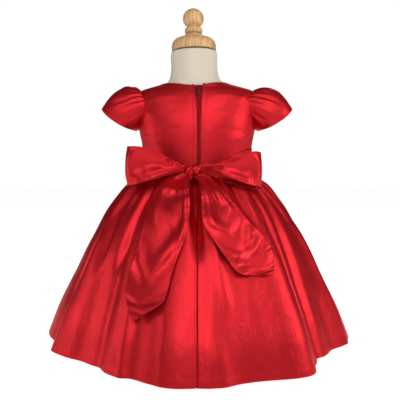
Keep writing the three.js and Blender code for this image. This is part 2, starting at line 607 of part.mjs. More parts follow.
function bowLoop(table) {
  const outer = [];
  for (let i = 0; i <= LOOP_STEPS; i += 1) {
    const row = along(table, i / LOOP_STEPS);
    const ahead = along(table, Math.min((i + 0.1) / LOOP_STEPS, 1));
    const behind = along(table, Math.max((i - 0.1) / LOOP_STEPS, 0));
    const square = new THREE.Vector2(ahead.y - behind.y, behind.x - ahead.x).normalize();
    const outwards = Math.sign(table[0].x - table[4].x);
    outer.push(Array.from({ length: LOOP_ACROSS + 1 }, (_, j) => {
      const across = j / LOOP_ACROSS * 2 - 1;
      const crown = row.crown * (1 - across ** 2) * outwards;
      return clearOfWaist(new THREE.Vector3(row.x - square.x * crown, row.y - square.y * crown,
        THREE.MathUtils.lerp(row.bottom, row.top, j / LOOP_ACROSS)), LOOP_CLEARANCE + RIBBON);
    }));
  }
  const side = Math.sign(table[4].x);
  return toSolid(wallBetween(outer, offsetGrid(outer, side * RIBBON, false), false));
}

function bowTail(table) {
  const grid = (proud) => Array.from({ length: TAIL_STEPS + 1 }, (_, i) => {
    const row = along(table, i / TAIL_STEPS);
    return Array.from({ length: TAIL_ACROSS + 1 }, (__, j) => {
      const x = THREE.MathUtils.lerp(row.leftX, row.rightX, j / TAIL_ACROSS);
      const z = THREE.MathUtils.lerp(row.leftZ, row.rightZ, j / TAIL_ACROSS);
      return onSkirt(x, z, row.lift + proud);
    });
  });
  return toSolid(wallBetween(grid(RIBBON), grid(0), false));
}

// The point of the back of the skirt at x and z, moved out by a distance
function onSkirt(x, z, proud) {
  const row = sample(SKIRT, 'z', z);
  let angle = Math.asin(THREE.MathUtils.clamp(x / (row.side + proud), -1, 1)) / RADIANS;
  for (let i = 0; i < 6; i += 1) {
    const miss = x - skirtPoint(angle, z, proud).x;
    angle += miss / (row.side + proud) / Math.cos(angle * RADIANS) / RADIANS;
  }
  const point = skirtPoint(angle, z, proud);
  return new THREE.Vector3(x, point.y, z);
}

// Zip tape with its coil, in the opening
function zipTape() {
  const { low, high, rows, thick, coilHalf, coilSlope, coilProud, slack } = ZIP_TAPE;
  const grid = (face) => Array.from({ length: rows + 1 }, (_, i) => {
    const z = THREE.MathUtils.lerp(low, high, i / rows);
    const half = sample(PLACKET, 'z', z).half - SEAM_GAP;
    const columns = [[-half, thick], [-coilHalf - coilSlope, thick], [-coilHalf, coilProud],
      [coilHalf, coilProud], [coilHalf + coilSlope, thick], [half, thick]];
    return columns.map(([x, height]) => (
      new THREE.Vector3(ZIP_X + x, backY(ZIP_X + x, z, slack + (face ? height : 0)), z)));
  });
  return wallBetween(grid(true), grid(false), false);
}

// Slider body with two lugs and the bar that the pull tab hangs on. y is out of the cloth.
function zipSlider() {
  const { width, length, depth, lug, lugFrom, lugTo, lugInset, barRadius, barAhead, barCover, barZ } = SLIDER;
  const lugInner = width / 2 - lug - lugInset;
  let solid = boxSolid([-width / 2, width / 2], [0, depth], [-length / 2, length / 2]);
  for (const side of [-1, 1]) {
    const [near, far] = [side * lugInner, side * (lugInner + lug)].sort((a, b) => a - b);
    solid = solid.add(boxSolid([near, far], [depth - lugInset, depth + barAhead + barCover], [lugFrom, lugTo]));
  }
  const bar = new THREE.CylinderGeometry(barRadius, barRadius, 2 * lugInner + lug, 12).rotateZ(Math.PI / 2);
  return fromSolid(solid.add(toSolid(bar.translate(0, depth + barAhead, barZ))));
}

// Pull tab with its eye on the bar, drawn with the bar's axis at the origin and hanging down
function pullTab() {
  const { width, length, thick, shoulder, neck, eyeRadius, eyePlay, boreRadius } = PULL;
  const eyeWidth = 2 * (SLIDER.width / 2 - SLIDER.lug - SLIDER.lugInset) - eyePlay;
  const outline = new THREE.Shape();
  outline.moveTo(-eyeWidth / 2, -neck);
  outline.lineTo(-width / 2, -shoulder);
  outline.lineTo(-width / 2, -length + width / 2);
  outline.absarc(0, -length + width / 2, width / 2, Math.PI, 2 * Math.PI, false);
  outline.lineTo(width / 2, -shoulder);
  outline.lineTo(eyeWidth / 2, -neck);
  const plate = new THREE.ExtrudeGeometry(outline, { depth: thick, bevelEnabled: false, curveSegments: 6 });
  const eye = new THREE.CylinderGeometry(eyeRadius, eyeRadius, eyeWidth, 16).rotateZ(Math.PI / 2);
  const bore = new THREE.CylinderGeometry(boreRadius, boreRadius, 2 * eyeWidth, 16).rotateZ(Math.PI / 2);
  return fromSolid(toSolid(plate.rotateX(Math.PI / 2).translate(0, thick / 2, 0))
    .add(toSolid(eye)).subtract(toSolid(bore)));
}

function turned(profile, sides) {
  return new THREE.LatheGeometry(profile.map(([r, z]) => new THREE.Vector2(r, z)), sides).rotateX(Math.PI / 2);
}

const dress = new THREE.Group();
function place(parent, name, geometry, material) {
  const mesh = new THREE.Mesh(geometry, new THREE.MeshStandardMaterial(MATERIALS[material]));
  mesh.name = name;
  parent.add(mesh);
  return mesh;
}

for (const [name, solid] of Object.entries(bodicePanels())) place(dress, name, fromSolid(solid), 'satin');
place(dress, 'skirt_back_left', skirtPanel(-SIDE_SEAM_ANGLE, 0), 'satin');
place(dress, 'skirt_back_right', skirtPanel(0, SIDE_SEAM_ANGLE), 'satin');
place(dress, 'skirt_front', skirtPanel(SIDE_SEAM_ANGLE, 360 - SIDE_SEAM_ANGLE), 'satin');
place(dress, 'sleeve_left', sleeveTube(-1), 'satin');
place(dress, 'sleeve_right', sleeveTube(1), 'satin');
place(dress, 'sash_band', sashBand(), 'ribbon');

const knotRoom = knotSolid(SEAM_GAP);
place(dress, 'bow_knot', fromSolid(knotSolid(0).subtract(waistRoom())), 'ribbon');
place(dress, 'bow_loop_left', fromSolid(bowLoop(LOOP_LEFT).subtract(knotRoom)), 'ribbon');
place(dress, 'bow_loop_right', fromSolid(bowLoop(LOOP_RIGHT).subtract(knotRoom)), 'ribbon');
place(dress, 'bow_tail_left', fromSolid(bowTail(TAIL_LEFT).subtract(knotRoom)), 'ribbon');
place(dress, 'bow_tail_right', fromSolid(bowTail(TAIL_RIGHT).subtract(knotRoom)), 'ribbon');

place(dress, 'zip_tape', zipTape(), 'zip');
const sliderSeat = ZIP_TAPE.slack + ZIP_TAPE.coilProud + SEAM_GAP;
const seatHalf = SLIDER.length / 2;
const backSlope = Math.atan2(backY(ZIP_X, SLIDER.z + seatHalf, 0) - backY(ZIP_X, SLIDER.z - seatHalf, 0),
  SLIDER.length);
const onBack = new THREE.Group();
onBack.position.set(ZIP_X, backY(ZIP_X, SLIDER.z, 0) - sliderSeat / Math.cos(backSlope), SLIDER.z);
onBack.rotation.set(-backSlope, 0, 0);
const facing = new THREE.Group();
facing.rotation.z = Math.PI;
onBack.add(facing);
place(facing, 'zip_slider', zipSlider(), 'enamel');
const pull = place(facing, 'zip_pull', pullTab(), 'enamel');
pull.position.set(0, SLIDER.depth + SLIDER.barAhead, SLIDER.barZ);
pull.rotation.x = -PULL.lean * RADIANS;
dress.add(onBack);

place(dress, 'form_torso', loft(torsoGrid()), 'linen');
const crown = new THREE.Group();
crown.position.set(TORSO.at(-1).centreX, TORSO.at(-1).centreY, NECK_TOP_Z);
crown.rotation.y = -TORSO.at(-1).tilt;
dress.add(crown);
const sealTop = SEAM_GAP + SEAL.height;
place(crown, 'cap_seal', turned([[0, SEAM_GAP], [SEAL.radius, SEAM_GAP], [SEAL.radius, sealTop], [0, sealTop]], 36), 'felt');
const capRound = Array.from({ length: CAP.steps }, (_, i) => {
  const turn = i / CAP.steps * Math.PI / 2;
  return [CAP.radius - CAP.shoulder * (1 - Math.cos(turn)), CAP.side + (CAP.height - CAP.side) * Math.sin(turn)];
});
const capTurned = turned([[0, 0], [CAP.radius, 0], ...capRound, [CAP.flat, CAP.height], [0, CAP.height]], 36);
place(crown, 'neck_cap', capTurned, 'wood').position.z = sealTop + SEAM_GAP;
const finialTurned = turned([[0, 0], ...FINIAL_PROFILE.map(({ r, z }) => [r, z]), [0, FINIAL_TOP]], 24);
place(crown, 'finial', finialTurned, 'wood').position.z = sealTop + CAP.height + 2 * SEAM_GAP;

const postLength = TORSO_BOTTOM_Z - BASE.height - 2 * SEAM_GAP;
const post = new THREE.CylinderGeometry(POST.radius, POST.radius, postLength, 24).rotateX(Math.PI / 2);
place(dress, 'form_post', post, 'steel').position.z = BASE.height + SEAM_GAP + postLength / 2;
const cut = BASE.round * BASE.corner;
place(dress, 'form_base', turned([[0, 0], [BASE.radius, 0], [BASE.radius, BASE.height - BASE.round],
  [BASE.radius - cut, BASE.height - cut], [BASE.radius - BASE.round, BASE.height], [0, BASE.height]], 48), 'board');

export default dress;
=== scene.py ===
import math

import bmesh
import bpy
import numpy as np
from mathutils import Matrix, Vector


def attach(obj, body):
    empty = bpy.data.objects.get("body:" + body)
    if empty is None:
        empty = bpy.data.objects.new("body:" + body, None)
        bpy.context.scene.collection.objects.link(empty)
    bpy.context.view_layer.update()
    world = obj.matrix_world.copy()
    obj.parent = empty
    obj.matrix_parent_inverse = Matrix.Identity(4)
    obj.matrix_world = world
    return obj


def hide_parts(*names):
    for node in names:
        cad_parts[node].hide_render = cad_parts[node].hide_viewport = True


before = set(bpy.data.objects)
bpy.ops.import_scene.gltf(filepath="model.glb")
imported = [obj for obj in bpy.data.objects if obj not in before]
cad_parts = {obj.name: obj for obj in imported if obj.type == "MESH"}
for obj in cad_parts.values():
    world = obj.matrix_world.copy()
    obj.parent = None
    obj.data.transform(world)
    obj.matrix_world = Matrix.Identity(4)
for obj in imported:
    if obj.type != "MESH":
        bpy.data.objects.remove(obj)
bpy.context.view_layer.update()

# Camera
# The photograph looks level at the back of the dress from about a metre away.
# The frame is shifted down to the hem, so that upright lines stay upright.
camera_data = bpy.data.cameras.new("camera")
camera_data.sensor_width = 36
camera_data.lens = 46.35
camera_data.shift_x = 0.0075
camera_data.shift_y = -0.1
camera = bpy.data.objects.new("camera", camera_data)
camera.location = (0, -0.9785, 0.320)
camera.rotation_euler = (math.radians(90), 0, 0)
bpy.context.scene.collection.objects.link(camera)
bpy.context.scene.camera = camera
bpy.context.scene.view_settings.view_transform = "Standard"


# Studio
# A white room with six soft lamps, as for a catalogue picture: a wide strip ahead, a strong one
# at the right, a low weak one at the left, a high one on either side, and one in front of the
# dress, which is behind it here.
def soft_light(name, place, aim, size, power):
    data = bpy.data.lights.new(name, "AREA")
    data.shape = "RECTANGLE"
    data.size, data.size_y = size
    data.energy = power
    lamp = bpy.data.objects.new(name, data)
    lamp.location = place
    lamp.rotation_euler = (Vector(aim) - Vector(place)).to_track_quat("-Z", "Y").to_euler()
    bpy.context.scene.collection.objects.link(lamp)


soft_light("right", (1.5, -0.65, 0.85), (0, 0, 0.28), (0.5, 0.8), 10.5)
soft_light("left", (-1.5, -0.3, 0.45), (0, 0, 0.05), (0.4, 0.5), 3.2)
soft_light("front", (-0.15, -1.75, 1.25), (0, 0, 0.3), (1.6, 0.5), 13)
soft_light("beside", (-0.9, -1.0, 1.6), (0, 0, 0.32), (0.3, 0.3), 2.4)
soft_light("above", (0.45, -1.15, 1.7), (0, 0, 0.25), (0.7, 0.5), 8)
soft_light("rear", (0.3, 1.8, 1.2), (0, 0, 0.3), (1.2, 1.2), 6)

room = bpy.data.worlds.new("room")
room.use_nodes = True
bpy.context.scene.world = room
room.node_tree.nodes.clear()
seen = room.node_tree.nodes.new("ShaderNodeBackground")
seen.inputs["Color"].default_value = (1, 1, 1, 1)
seen.inputs["Strength"].default_value = 1.0
lit = room.node_tree.nodes.new("ShaderNodeBackground")
lit.inputs["Color"].default_value = (1, 0.98, 0.96, 1)
lit.inputs["Strength"].default_value = 0.05
ray = room.node_tree.nodes.new("ShaderNodeLightPath")
either = room.node_tree.nodes.new("ShaderNodeMixShader")
sky = room.node_tree.nodes.new("ShaderNodeOutputWorld")
room.node_tree.links.new(ray.outputs["Is Camera Ray"], either.inputs["Fac"])
room.node_tree.links.new(lit.outputs["Background"], either.inputs[1])
room.node_tree.links.new(seen.outputs["Background"], either.inputs[2])
room.node_tree.links.new(either.outputs["Shader"], sky.inputs["Surface"])


# Floor
# A plain pale board that the stand's foot is set down on.
class Value:
    """A number or a colour that changes over a surface, read from one socket of its finish."""

    def __init__(self, finish, socket):
        self.finish = finish
        self.socket = socket

    def maths(self, operation, first, second):
        return self.finish.node("ShaderNodeMath", {"operation": operation}, {0: first, 1: second})

    def __add__(self, other):
        return self.maths("ADD", self, other)

    def __mul__(self, other):
        return self.maths("MULTIPLY", self, other)

    __radd__ = __add__
    __rmul__ = __mul__


class Finish:
    """A material whose plain settings are given first, and whose detail is added by nodes."""

    def __init__(self, name, **settings):
        self.material = bpy.data.materials.new(name)
        self.material.use_nodes = True
        self.tree = self.material.node_tree
        self.shader = self.tree.nodes["Principled BSDF"]
        for socket, value in settings.items():
            self.shader.inputs[socket.replace("_", " ").title()].default_value = value

    def node(self, kind, settings, sockets, output=0):
        made = self.tree.nodes.new(kind)
        for name, value in settings.items():
            setattr(made, name, value)
        for socket, value in sockets.items():
            if isinstance(value, Value):
                self.tree.links.new(value.socket, made.inputs[socket])
            else:
                made.inputs[socket].default_value = value
        return Value(self, made.outputs[output])

    def coordinates(self, kind, scale, turn=(0, 0, 0)):
        place = self.node("ShaderNodeTexCoord", {}, {}, kind)
        return self.node("ShaderNodeMapping", {}, {"Vector": place, "Scale": scale, "Rotation": turn})

    def noise(self, where, scale, detail=2):
        return self.node("ShaderNodeTexNoise", {}, {"Vector": where, "Scale": scale, "Detail": detail})

    def blend(self, share, first, second):
        first = first if isinstance(first, Value) else (*first, 1)
        second = second if isinstance(second, Value) else (*second, 1)
        return self.node("ShaderNodeMix", {"data_type": "RGBA"}, {0: share, 6: first, 7: second}, 2)

    def feed(self, socket, value):
        self.tree.links.new(value.socket, self.shader.inputs[socket])

    def relief(self, height, distance):
        bump = self.node("ShaderNodeBump", {}, {"Height": height, "Distance": distance})
        self.feed("Normal", bump)


board = Finish("floor_board", roughness=0.9, emission_color=(1, 1, 1, 1), emission_strength=0.96)
speck = board.noise(board.coordinates("Object", (1, 1, 1)), 60)
board.feed("Base Color", board.blend(speck, (0.30, 0.30, 0.30), (0.34, 0.34, 0.34)))
floor_mesh = bmesh.new()
bmesh.ops.create_circle(floor_mesh, cap_ends=True, segments=96, radius=5)
floor_data = bpy.data.meshes.new("floor")
floor_mesh.to_mesh(floor_data)
floor_data.materials.append(board.material)
floor = bpy.data.objects.new("floor", floor_data)
bpy.context.scene.collection.objects.link(floor)


# Stand
# A round board painted off-white, and a plated steel post that is screwed into it and carries
# the form. Both are under the skirt.
def take_node(node, finish):
    """A CAD node that keeps its own shape takes a finish."""
    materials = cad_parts[node].data.materials
    materials.clear()
    materials.append(finish.material)


paint = Finish("stand_paint", roughness=0.5, coat_weight=0.1)
brushed = paint.noise(paint.coordinates("Object", (1, 1, 1)), 18)
paint.feed("Base Color", paint.blend(brushed, (0.74, 0.70, 0.61), (0.80, 0.76, 0.68)))
paint.relief(paint.noise(paint.coordinates("Object", (1, 1, 0.2)), 300), 0.0002)
take_node("form_base", paint)

steel = Finish("steel", metallic=1.0)
drawn = steel.noise(steel.coordinates("Object", (1, 1, 0.02)), 900)
steel.feed("Base Color", steel.blend(drawn, (0.50, 0.50, 0.49), (0.62, 0.62, 0.61)))
steel.feed("Roughness", drawn * 0.2 + 0.22)
take_node("form_post", steel)


# Torso of the form
# Papier-mache with a thin layer of wadding, covered in cream cotton jersey that is stretched
# smooth and seamed down the sides. power 2 is an ellipse, more is squarer.
MM = 0.001


def table(columns, rows):
    """A table of sizes, read by the names of its columns."""
    return dict(zip(columns.split(), np.array(rows, float).T))


def smooth(rows, key, column, at):
    """A smooth curve through the rows of a table, read at values of its key column."""
    keys, values = rows[key], rows[column]
    if keys[0] > keys[-1]:
        keys, values = keys[::-1], values[::-1]
    last = len(keys) - 1
    after = np.minimum(np.arange(last + 1) + 1, last)
    before = np.maximum(np.arange(last + 1) - 1, 0)
    slopes = (values[after] - values[before]) / (keys[after] - keys[before])
    row = np.clip(np.searchsorted(keys, at, side="right") - 1, 0, last - 1)
    span = keys[row + 1] - keys[row]
    t = np.clip((at - keys[row]) / span, 0, 1)
    start = (2 * t**3 - 3 * t**2 + 1) * values[row] + (t**3 - 2 * t**2 + t) * slopes[row] * span
    return start + (3 * t**2 - 2 * t**3) * values[row + 1] + (t**3 - t**2) * slopes[row + 1] * span


TORSO = table("z half_width half_depth centre_x centre_y power tilt", [
    (228, 92.0, 80.0, 0, 0, 2.0, 0),
    (236, 100.0, 87.0, 0, 0, 2.0, 0),
    (262, 101.5, 87.5, 0, 0, 2.0, 0),
    (285, 98.6, 83.0, 0, 0, 2.0, 0),
    (303, 98.1, 81.3, 0, 0, 2.0, 0),
    (322, 99.0, 80.6, 0, 0, 2.1, 0),
    (341, 101.0, 80.0, 0, 0, 2.2, 0),
    (360, 103.5, 79.0, 0, 0, 2.3, 0),
    (379, 108.0, 77.0, 0, 0, 2.3, 0),
    (398, 110.5, 73.0, 0, 0, 2.3, 0),
    (416, 111.5, 67.5, 0, 0, 2.3, 0),
    (432, 111.0, 61.0, 0, 0.4, 2.3, 0),
    (443, 109.0, 55.5, 0, 0.8, 2.2, 0),
    (449, 104.5, 51.5, 0, 1.2, 2.1, 0),
    (453.5, 92.0, 48.5, -0.2, 1.6, 2.0, 0),
    (457.5, 77.0, 46.5, -0.6, 1.8, 2.0, 0),
    (461.5, 64.0, 45.2, -1.4, 2.0, 2.0, 0),
    (466, 54.5, 44.4, -2.8, 2.0, 2.0, 0),
    (473, 48.0, 43.8, -4.2, 2.0, 2.0, 0.004),
    (484, 44.8, 43.5, -4.9, 2.0, 2.0, 0.012),
    (500, 43.6, 43.2, -5.3, 2.0, 2.0, 0.019),
    (517, 44.3, 43.6, -5.7, 2.0, 2.0, 0.019),
    (524.5, 42.8, 42.4, -5.8, 2.0, 2.0, 0.019),
])
risen = np.hypot(np.diff(TORSO["z"]), np.diff(TORSO["half_width"]))
TORSO["along"] = np.concatenate([[0], np.cumsum(risen)])


def squared(value, power):
    """A sine or cosine for an outline that bulges into its corners as power goes over 2."""
    return np.sign(value) * np.abs(value) ** (2 / power)


def torso_face(angle, along):
    """The form's own surface. The angle is from the centre back towards +X."""
    z = smooth(TORSO, "along", "z", along)
    size = {column: smooth(TORSO, "z", column, z) for column in TORSO}
    turn = np.radians(angle)
    x = size["half_width"] * squared(np.sin(turn), size["power"])
    y = size["centre_y"] - size["half_depth"] * squared(np.cos(turn), size["power"])
    return np.stack([size["centre_x"] + x, y, z + x * size["tilt"]], -1)


def proud_of(face, across, up, distance, step=0.5):
    """A point that stands off a surface by a distance, square to it."""
    run = face(across + step, up) - face(across - step, up)
    rise = face(across, up + step) - face(across, up - step)
    normal = np.cross(run, rise)
    normal /= np.maximum(np.linalg.norm(normal, axis=-1, keepdims=True), 1e-9)
    return face(across, up) + normal * np.broadcast_to(distance, np.shape(across))[..., None]


def cloth(name, columns, rows, place, flat, wall=0, cuts=(), closed=False):
    """A sheet drawn as a grid on its flat pattern, trimmed to its cuts and laid in its place.

    place gives the points of the pattern in millimetres, and a cut is below zero off the piece.
    """
    sheet = bmesh.new()
    uv = sheet.loops.layers.uv.new("UVMap")
    bmesh.ops.create_grid(sheet, x_segments=columns, y_segments=rows, size=0.5)
    for cut in cuts:
        faces = list(sheet.faces)
        middles = np.array([face.calc_center_median()[:2] for face in faces]) + 0.5
        off = cut(place(middles[:, 0], middles[:, 1])) < 0
        gone = [face for face, is_off in zip(faces, off) if is_off]
        rim = {corner for face in gone for corner in face.verts}
        bmesh.ops.delete(sheet, geom=gone, context="FACES")
        rim = [corner for corner in rim if corner.is_valid]
        at = np.array([corner.co[:2] for corner in rim]).reshape(-1, 2) + 0.5
        nudge = np.array([0.2 / columns, 0.2 / rows])
        for _ in range(5):
            here = cut(place(at[:, 0], at[:, 1]))
            right = cut(place(at[:, 0] + nudge[0], at[:, 1])) - here
            above = cut(place(at[:, 0], at[:, 1] + nudge[1])) - here
            slope = np.stack([right, above], -1) / nudge / flat
            step = -here[:, None] * slope / np.maximum((slope**2).sum(-1, keepdims=True), 1e-12) / flat
            at += np.clip(step, -4 * nudge, 4 * nudge)
        for corner, (u, v) in zip(rim, at):
            corner.co = (u - 0.5, v - 0.5, 0)
    for face in sheet.faces:
        for loop in face.loops:
            loop[uv].uv = ((loop.vert.co.x + 0.5) * flat[0] * MM, (loop.vert.co.y + 0.5) * flat[1] * MM)
    pattern = np.array([corner.co[:2] for corner in sheet.verts]) + 0.5
    for corner, point in zip(sheet.verts, place(pattern[:, 0], pattern[:, 1]) * MM):
        corner.co = point
    if closed:
        bmesh.ops.remove_doubles(sheet, verts=sheet.verts, dist=1e-6)
    return shell(name, sheet, wall)


def shell(name, mesh, wall=0):
    """The finished object of a mesh, smooth to look at, with a wall inside its outer face."""
    for face in mesh.faces:
        face.smooth = True
    data = bpy.data.meshes.new(name)
    mesh.to_mesh(data)
    mesh.free()
    piece = bpy.data.objects.new(name, data)
    bpy.context.scene.collection.objects.link(piece)
    if wall:
        thick = piece.modifiers.new("wall", "SOLIDIFY")
        thick.thickness = wall * MM
        thick.offset = -1
    return piece


def fit(piece, finish, slot, *nodes):
    """Fixes a finished piece to the dressed form, in place of its plain solids."""
    piece.data.materials.append(finish.material)
    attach(piece, "dress_on_form")
    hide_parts(*nodes)


jersey = Finish("jersey", roughness=0.92, sheen_weight=0.25, sheen_roughness=0.5)
wear = jersey.noise(jersey.coordinates("Object", (1, 1, 1)), 22, 3)
jersey.feed("Base Color", jersey.blend(wear, (0.66, 0.58, 0.44), (0.74, 0.67, 0.53)))
ribs = jersey.coordinates("UV", (1, 1, 1))
knit = jersey.node(
    "ShaderNodeTexWave", {"wave_profile": "SIN"}, {"Vector": ribs, "Scale": 190, "Distortion": 1.5}
)
rows_knit = jersey.node("ShaderNodeTexWave", {"bands_direction": "Y"}, {"Vector": ribs, "Scale": 150})
jersey.relief(knit + rows_knit * 0.5, 0.00025)


def torso_cover(across, up):
    return torso_face(across * 360 - 180, up * TORSO["along"][-1])


torso = cloth("form_torso_cover", 120, 110, torso_cover, (600, 430), closed=True)
ends = bmesh.new()
ends.from_mesh(torso.data)
bmesh.ops.holes_fill(ends, edges=[edge for edge in ends.edges if edge.is_boundary])
ends.to_mesh(torso.data)
ends.free()
fit(torso, jersey, "linen", "form_torso")


# Neck cap and finial
# Turned in pale beech, waxed, and screwed down through the neck. Under the cap lies a thin
# near-black ring that paints the shade of the narrow gap there. Each profile is a radius and a
# height above its own foot.
def turned(name, profile, foot):
    """A piece turned on the neck's own axis, which leans a little to the left."""
    lathe = bmesh.new()
    points = [lathe.verts.new((radius * MM, 0, (foot + height) * MM)) for radius, height in profile]
    line = [lathe.edges.new(pair) for pair in zip(points, points[1:])]
    bmesh.ops.spin(
        lathe, geom=points + line, cent=(0, 0, 0), axis=(0, 0, 1), angle=math.tau, steps=72, use_merge=True
    )
    bmesh.ops.remove_doubles(lathe, verts=lathe.verts, dist=1e-6)
    bmesh.ops.recalc_face_normals(lathe, faces=lathe.faces)
    lean = Matrix.Translation(Vector((-5.8, 2.0, 524.5)) * MM) @ Matrix.Rotation(-0.019, 4, "Y")
    bmesh.ops.transform(lathe, matrix=lean, verts=lathe.verts)
    return shell(name, lathe)


def curved(corners, steps):
    """A smooth profile through a few measured corners."""
    rows = table("share radius height", [(i, *corner) for i, corner in enumerate(corners)])
    at = np.linspace(0, len(corners) - 1, steps)
    radius = smooth(rows, "share", "radius", at)
    return list(zip(np.maximum(radius, 0), smooth(rows, "share", "height", at)))


beech = Finish("beech", roughness=0.5, coat_weight=0.15, coat_roughness=0.35)
along_grain = beech.coordinates("Object", (1, 1, 0.12), (0.05, 0.08, 0.4))
figure = beech.node(
    "ShaderNodeTexWave", {"wave_type": "BANDS", "bands_direction": "X"},
    {"Vector": along_grain, "Scale": 55, "Distortion": 7, "Detail": 3, "Detail Scale": 2},
)
flecks = beech.noise(beech.coordinates("Object", (1, 1, 0.05)), 700)
tone = beech.blend(figure, (0.50, 0.27, 0.11), (0.68, 0.42, 0.19))
beech.feed("Base Color", beech.blend(flecks * 0.35, tone, (0.42, 0.22, 0.08)))
beech.feed("Roughness", figure * 0.12 + 0.42)
beech.relief(figure * 0.5 + flecks, 0.00015)

# Painted shade: this near-black ring fills the narrow gap under the cap and stands for the shade in it.
felt = Finish("felt", roughness=1.0, sheen_weight=0.5)
gap_shade_mottle = felt.noise(felt.coordinates("Object", (1, 1, 1)), 900, 4)
felt.feed("Base Color", felt.blend(gap_shade_mottle, (0.035, 0.02, 0.012), (0.075, 0.045, 0.028)))
felt.relief(gap_shade_mottle, 0.0005)
shade_ring = turned("cap_shade_ring", [(0, 0.3), (41.6, 0.3), (42.2, 0.7), (42.2, 1.9), (41.6, 2.3), (0, 2.3)], 0)
fit(shade_ring, felt, "felt", "cap_seal")

cap_side = curved([(42.0, 1.0), (42.2, 6), (41.8, 11), (39.0, 18), (34.0, 22.5), (27.0, 25.2)], 26)
cap = turned("cap_turned", [(0, 0), (40.6, 0), *cap_side, (24, 25.5), (0, 25.5)], 2.6)
fit(cap, beech, "wood", "neck_cap")

FINIAL_NECK = [(17.0, 0), (17.6, 1.0), (17.6, 3.8), (16.6, 5.0), (13.6, 6.4), (13.9, 7.4)]
FINIAL_RING = [
    (13.9, 7.4), (16.2, 9), (16.8, 13), (15.8, 17.5), (12.6, 19.8), (12.1, 20.7), (12.8, 21.6),
]
FINIAL_BALL = [
    (12.8, 21.6), (16.6, 25.2), (19.2, 31), (19.7, 37.5), (17.8, 45), (12.8, 51), (6.4, 54.4), (0, 55.2),
]
knob = [*curved(FINIAL_NECK, 14), *curved(FINIAL_RING, 22)[1:], *curved(FINIAL_BALL, 34)[1:]]
finial = turned("finial_turned", [(0, 0), *knob], 28.1)
fit(finial, beech, "wood", "finial")


# Bodice
# Three panels of red satin, sewn at the sides and shoulders and bagged out with a lining, so
# that the neckline and the two folded edges over the zip are clean. Cut snug on the form.
ON_FORM = 1.7
SEAM_Y = -5
SEAM_HALF = -0.15
ZIP_X = 2.7
PLACKET = table("z half", [(295, 3.8), (330, 3.9), (405, 4.4), (436, 5.2), (470, 9.5)])
NECKLINE = {"x": -3, "y": 5.55, "half_width": 65, "half_depth": 52.95}
ARMHOLE = {"y": -2, "z": 414, "half_depth": 40, "half_height": 37}
SATIN_WALL = 1.0
BACK_Y = -20
ARMHOLE_X = 70
UNCUT = 30
ZIP_FOLD = {"at": 2, "wide": 2.2, "out": 0.7}
ZIP_STITCHES = {"at": 6.5, "wide": 1.0, "in": 0.4}
SEAM_DIP = {"wide": 1.6, "in": 0.5}
NECK_EDGE = {"wide": 2.5, "out": 0.3}

BODICE_PULLS = table("from_angle from_level to_angle to_level width depth bow", [
    (8, 436, 60, 428, 5, 0.77, 3),
    (10, 412, 48, 398, 4, -0.59, -3),
    (14, 392, 62, 402, 6, 0.68, 4),
    (12, 374, 50, 370, 5, -0.68, 2),
    (20, 358, 70, 366, 5, 0.59, -3),
    (9, 448, 34, 452, 3, -0.51, 2),
    (56, 446, 30, 424, 4, 0.59, 3),
    (70, 384, 36, 352, 6, 0.77, 5),
    (78, 360, 60, 332, 5, -0.68, 2),
    (84, 372, 76, 334, 4, 0.68, -2),
    (-8, 436, -56, 424, 5, 0.77, -3),
    (-11, 414, -44, 404, 4, -0.59, 3),
    (-12, 394, -64, 404, 6, 0.68, -3),
    (-10, 376, -46, 366, 5, -0.77, -2),
    (-22, 356, -66, 364, 5, 0.68, 3),
    (-8, 450, -30, 452, 3, -0.51, -2),
    (-58, 446, -32, 422, 4, 0.68, -3),
    (-72, 382, -34, 350, 6, 0.77, -5),
    (-80, 362, -62, 330, 5, -0.68, -2),
    (-84, 374, -74, 336, 4, 0.68, 2),
    (112, 420, 168, 408, 7, 0.4, 4),
    (246, 424, 196, 410, 6, 0.45, -4),
    (106, 372, 150, 352, 6, -0.4, 3),
    (254, 376, 206, 348, 7, -0.4, -3),
    (130, 336, 176, 344, 5, 0.35, 2),
    (228, 332, 188, 342, 5, 0.35, -2),
])


def eased(at, start, end):
    t = np.clip((at - start) / (end - start), 0, 1)
    return t * t * (3 - 2 * t)


def creased(creases, angle, level, radius):
    """How far the creases in a table move the cloth out. Each fades at both of its ends."""
    moved = np.zeros(np.shape(angle))
    for from_angle, from_level, to_angle, to_level, width, depth, bow in zip(*creases.values()):
        across = np.radians(angle - from_angle) * radius
        run = np.radians(to_angle - from_angle) * radius
        up, rise = level - from_level, to_level - from_level
        length = np.hypot(run, rise)
        share = (across * run + up * rise) / length**2
        beside = (across * rise - up * run) / length + bow * 4 * share * (1 - share)
        fade = eased(share, 0, 0.3) * (1 - eased(share, 0.7, 1))
        moved += depth * fade * np.exp(-((beside / width) ** 2))
    return moved


def off_neckline(point):
    x, y = point[:, 0] - NECKLINE["x"], point[:, 1] - NECKLINE["y"]
    ring = np.hypot(x / NECKLINE["half_width"], y / NECKLINE["half_depth"])
    return (ring - 1) * NECKLINE["half_depth"]


def off_armhole(point):
    y, z = point[:, 1] - ARMHOLE["y"], point[:, 2] - ARMHOLE["z"]
    ring = np.hypot(y / ARMHOLE["half_depth"], z / ARMHOLE["half_height"])
    return np.where(np.abs(point[:, 0]) > ARMHOLE_X, (ring - 1) * ARMHOLE["half_height"], UNCUT)


def behind_seam(point):
    return SEAM_Y - SEAM_HALF - point[:, 1]


def before_seam(point):
    return point[:, 1] - SEAM_Y - SEAM_HALF


def left_of_zip(point):
    edge = ZIP_X - point[..., 0] - smooth(PLACKET, "z", "half", point[..., 2])
    return np.where(point[..., 1] < BACK_Y, edge, UNCUT)


def right_of_zip(point):
    edge = point[..., 0] - ZIP_X - smooth(PLACKET, "z", "half", point[..., 2])
    return np.where(point[..., 1] < BACK_Y, edge, UNCUT)


def ridge(distance, wide):
    """The rounded section of a fold or a dip, from 1 in its middle to 0 beside it."""
    return np.exp(-((distance / wide) ** 2))


